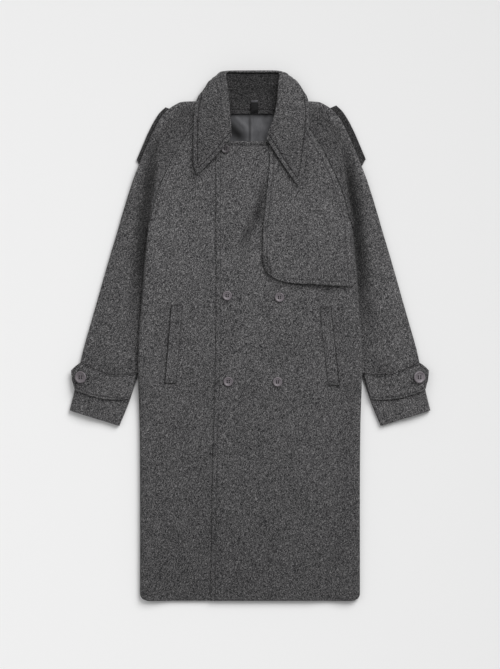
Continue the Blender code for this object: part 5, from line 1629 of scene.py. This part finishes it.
# The coat
def dress_coat():
    panel_wool = wool_material("panel_wool", sewn=PANEL_GROOVE_SHADE)
    trim_wool = wool_material("trim_wool")
    welt_wool = wool_material("welt_wool", rows=2)
    # the collar stand's wool is a darker copy: painted shade
    stand_wool = wool_material("stand_wool", shade=STAND_SHADE)
    # the shoulder straps' wool is a darker copy: painted shade
    strap_wool = wool_material("strap_wool", shade=STRAP_SHADE)
    satin, tape = satin_material(), tape_material()
    laid = {}

    def lay(name, form, thick, cloth=panel_wool, **how):
        laid[name] = lay_cloth(name, form, thick, cloth, **how)

    def lay_sleeve(suffix, flip, own_creases):
        front, under = sleeve_forms(flip)
        turn = -SLEEVE_TURN if flip else SLEEVE_TURN
        strap = {"spacing": TRIM, "flip": flip, "narrow": NARROW, "turn": turn, "lie": "sleeve"}
        lay("sleeve_front_" + suffix, front, WALL, flip=not flip, creases=own_creases + SHOULDER_CREASES,
            turn=turn, lie="sleeve", flat_sides=("first_column",), lit_side="last_column")
        lay("sleeve_back_" + suffix, under, WALL, spacing=COARSE, flip=flip, turn=turn)
        # a painted shadow line along the cuff strap's edge
        lay("cuff_strap_" + suffix, cuff_strap_form(suffix, flip), DOUBLE, trim_wool, creases=own_creases,
            sewn=("first_row", "last_row", "last_column"), dark_sides={"last_row": CUFF_EDGE_TONE}, **strap)
        lay("shoulder_strap_" + suffix, shoulder_strap_form(flip, 0.0 if flip else STRAP_FURTHER), WALL,
            strap_wool, sewn=("first_row", "last_column"), **strap)

    creases = BODY_CREASES + SHOULDER_CREASES
    lay("back", back_form(), WALL, spacing=COARSE, flip=True)
    lay("front_under", front_under_form(), WALL, flip=True, creases=creases, sewn=("last_column",),
        lowest_y=RAGLAN_STITCH_FOOT, flat_sides=("last_column",))
    lay("front_over", front_over_form(), WALL, creases=creases, sewn=("first_column", "last_row"),
        flat_sides=("last_column",))
    lay_sleeve("r", True, SLEEVE_CREASES_R)
    lay_sleeve("l", False, SLEEVE_CREASES_L)
    lay("storm_flap", storm_flap_form(), DOUBLE, creases=creases,
        sewn=("first_column", "first_row", "last_column"))
    lay("collar_fall", collar_fall_form(), DOUBLE, trim_wool, spacing=TRIM, flip=True,
        sewn=("last_column", "first_row", "last_row"), turn=CROSS_TURN, lie="collar")
    lay("collar_stand", collar_stand_form(), WALL, stand_wool, spacing=TRIM, sewn=("first_row",),
        turn=CROSS_TURN, lie="collar")
    lay("lining", lining_form(), LINING_THICK, satin, spacing=TRIM, creases=LINING_CREASES, lie="lining")
    lay("hanger_loop", hanger_loop_form(), LOOP_THICK, tape, spacing=TRIM / 2, lie="loop")
    for welt in WELTS:
        mouth, pressed = "last_column", "first_column"
        if welt.side == "under":
            mouth, pressed = pressed, mouth
        # painted shade lines along the welt's mouth, its ends and its pressed side
        dark_sides = {"first_row": WELT_END_TONE, "last_row": WELT_END_TONE, mouth: MOUTH_TONE}
        dark_sides[pressed] = PRESSED_SHADE[welt.side]
        lay(welt.name, welt_form(welt), WALL, welt_wool, spacing=TRIM, creases=BODY_CREASES,
            sewn=("first_row", "last_row"), narrow=NARROW, dark_sides=dark_sides, pressed=pressed)
    return laid


def add_floor():
    signs = ((-1, -1), (1, -1), (1, 1), (-1, 1))
    mesh = bpy.data.meshes.new("floor")
    mesh.from_pydata([(x * FLOOR_HALF, y * FLOOR_HALF, FLOOR_Z) for x, y in signs], [], [(0, 1, 2, 3)])
    mesh.materials.append(floor_material())
    new_piece("floor", mesh)


def add_light(name, place, size, power):
    light = bpy.data.lights.new(name, "AREA")
    light.size = size
    light.energy = power
    lamp = new_piece(name, light)
    lamp.location = place
    lamp.rotation_euler = (-Vector(place)).to_track_quat("-Z", "Y").to_euler()


def add_studio():
    add_floor()
    add_light("key", KEY_PLACE, KEY_SIZE, KEY_POWER)
    add_light("fill", FILL_PLACE, FILL_SIZE, FILL_POWER)
    world = bpy.data.worlds.new("studio")
    world.use_nodes = True
    sky = world.node_tree.nodes["Background"]
    sky.inputs["Color"].default_value = (1.0, 1.0, 1.0, 1.0)
    sky.inputs["Strength"].default_value = SKY_STRENGTH
    bpy.context.scene.world = world
    bpy.context.scene.view_settings.view_transform = "Standard"


def add_camera():
    """Straight above the coat, so that one pixel of the picture is one of the photograph's."""
    lens = bpy.data.cameras.new("camera")
    lens.lens, lens.sensor_width = LENS, SENSOR
    camera = new_piece("camera", lens)
    camera.location = (0.0, PICTURE_CENTRE_Y, PICTURE_TALL * METRES_PER_PIXEL / SENSOR * LENS)
    bpy.context.scene.camera = camera


def main():
    for name in ("Cube", "Light", "Camera"):
        if name in bpy.data.objects:
            bpy.data.objects.remove(bpy.data.objects[name])
    thread = thread_material("sewing_thread", SEWING_DARK, SEWING_LIGHT)
    button_thread = thread_material("button_thread", BUTTON_SEWING_DARK, BUTTON_SEWING_LIGHT)
    laid = dress_coat()
    add_topstitching(thread)
    horn = horn_material("moulded_horn")
    # the neck button's horn is a darker copy: painted shadow under the collar leaf
    shaded_neck_horn = horn_material("dark_horn", NECK_HORN_SHADE)
    for button in BUTTONS:
        add_button(button, shaded_neck_horn if button.name == "button_neck" else horn, button_thread)
    add_studio()
    add_camera()


main()
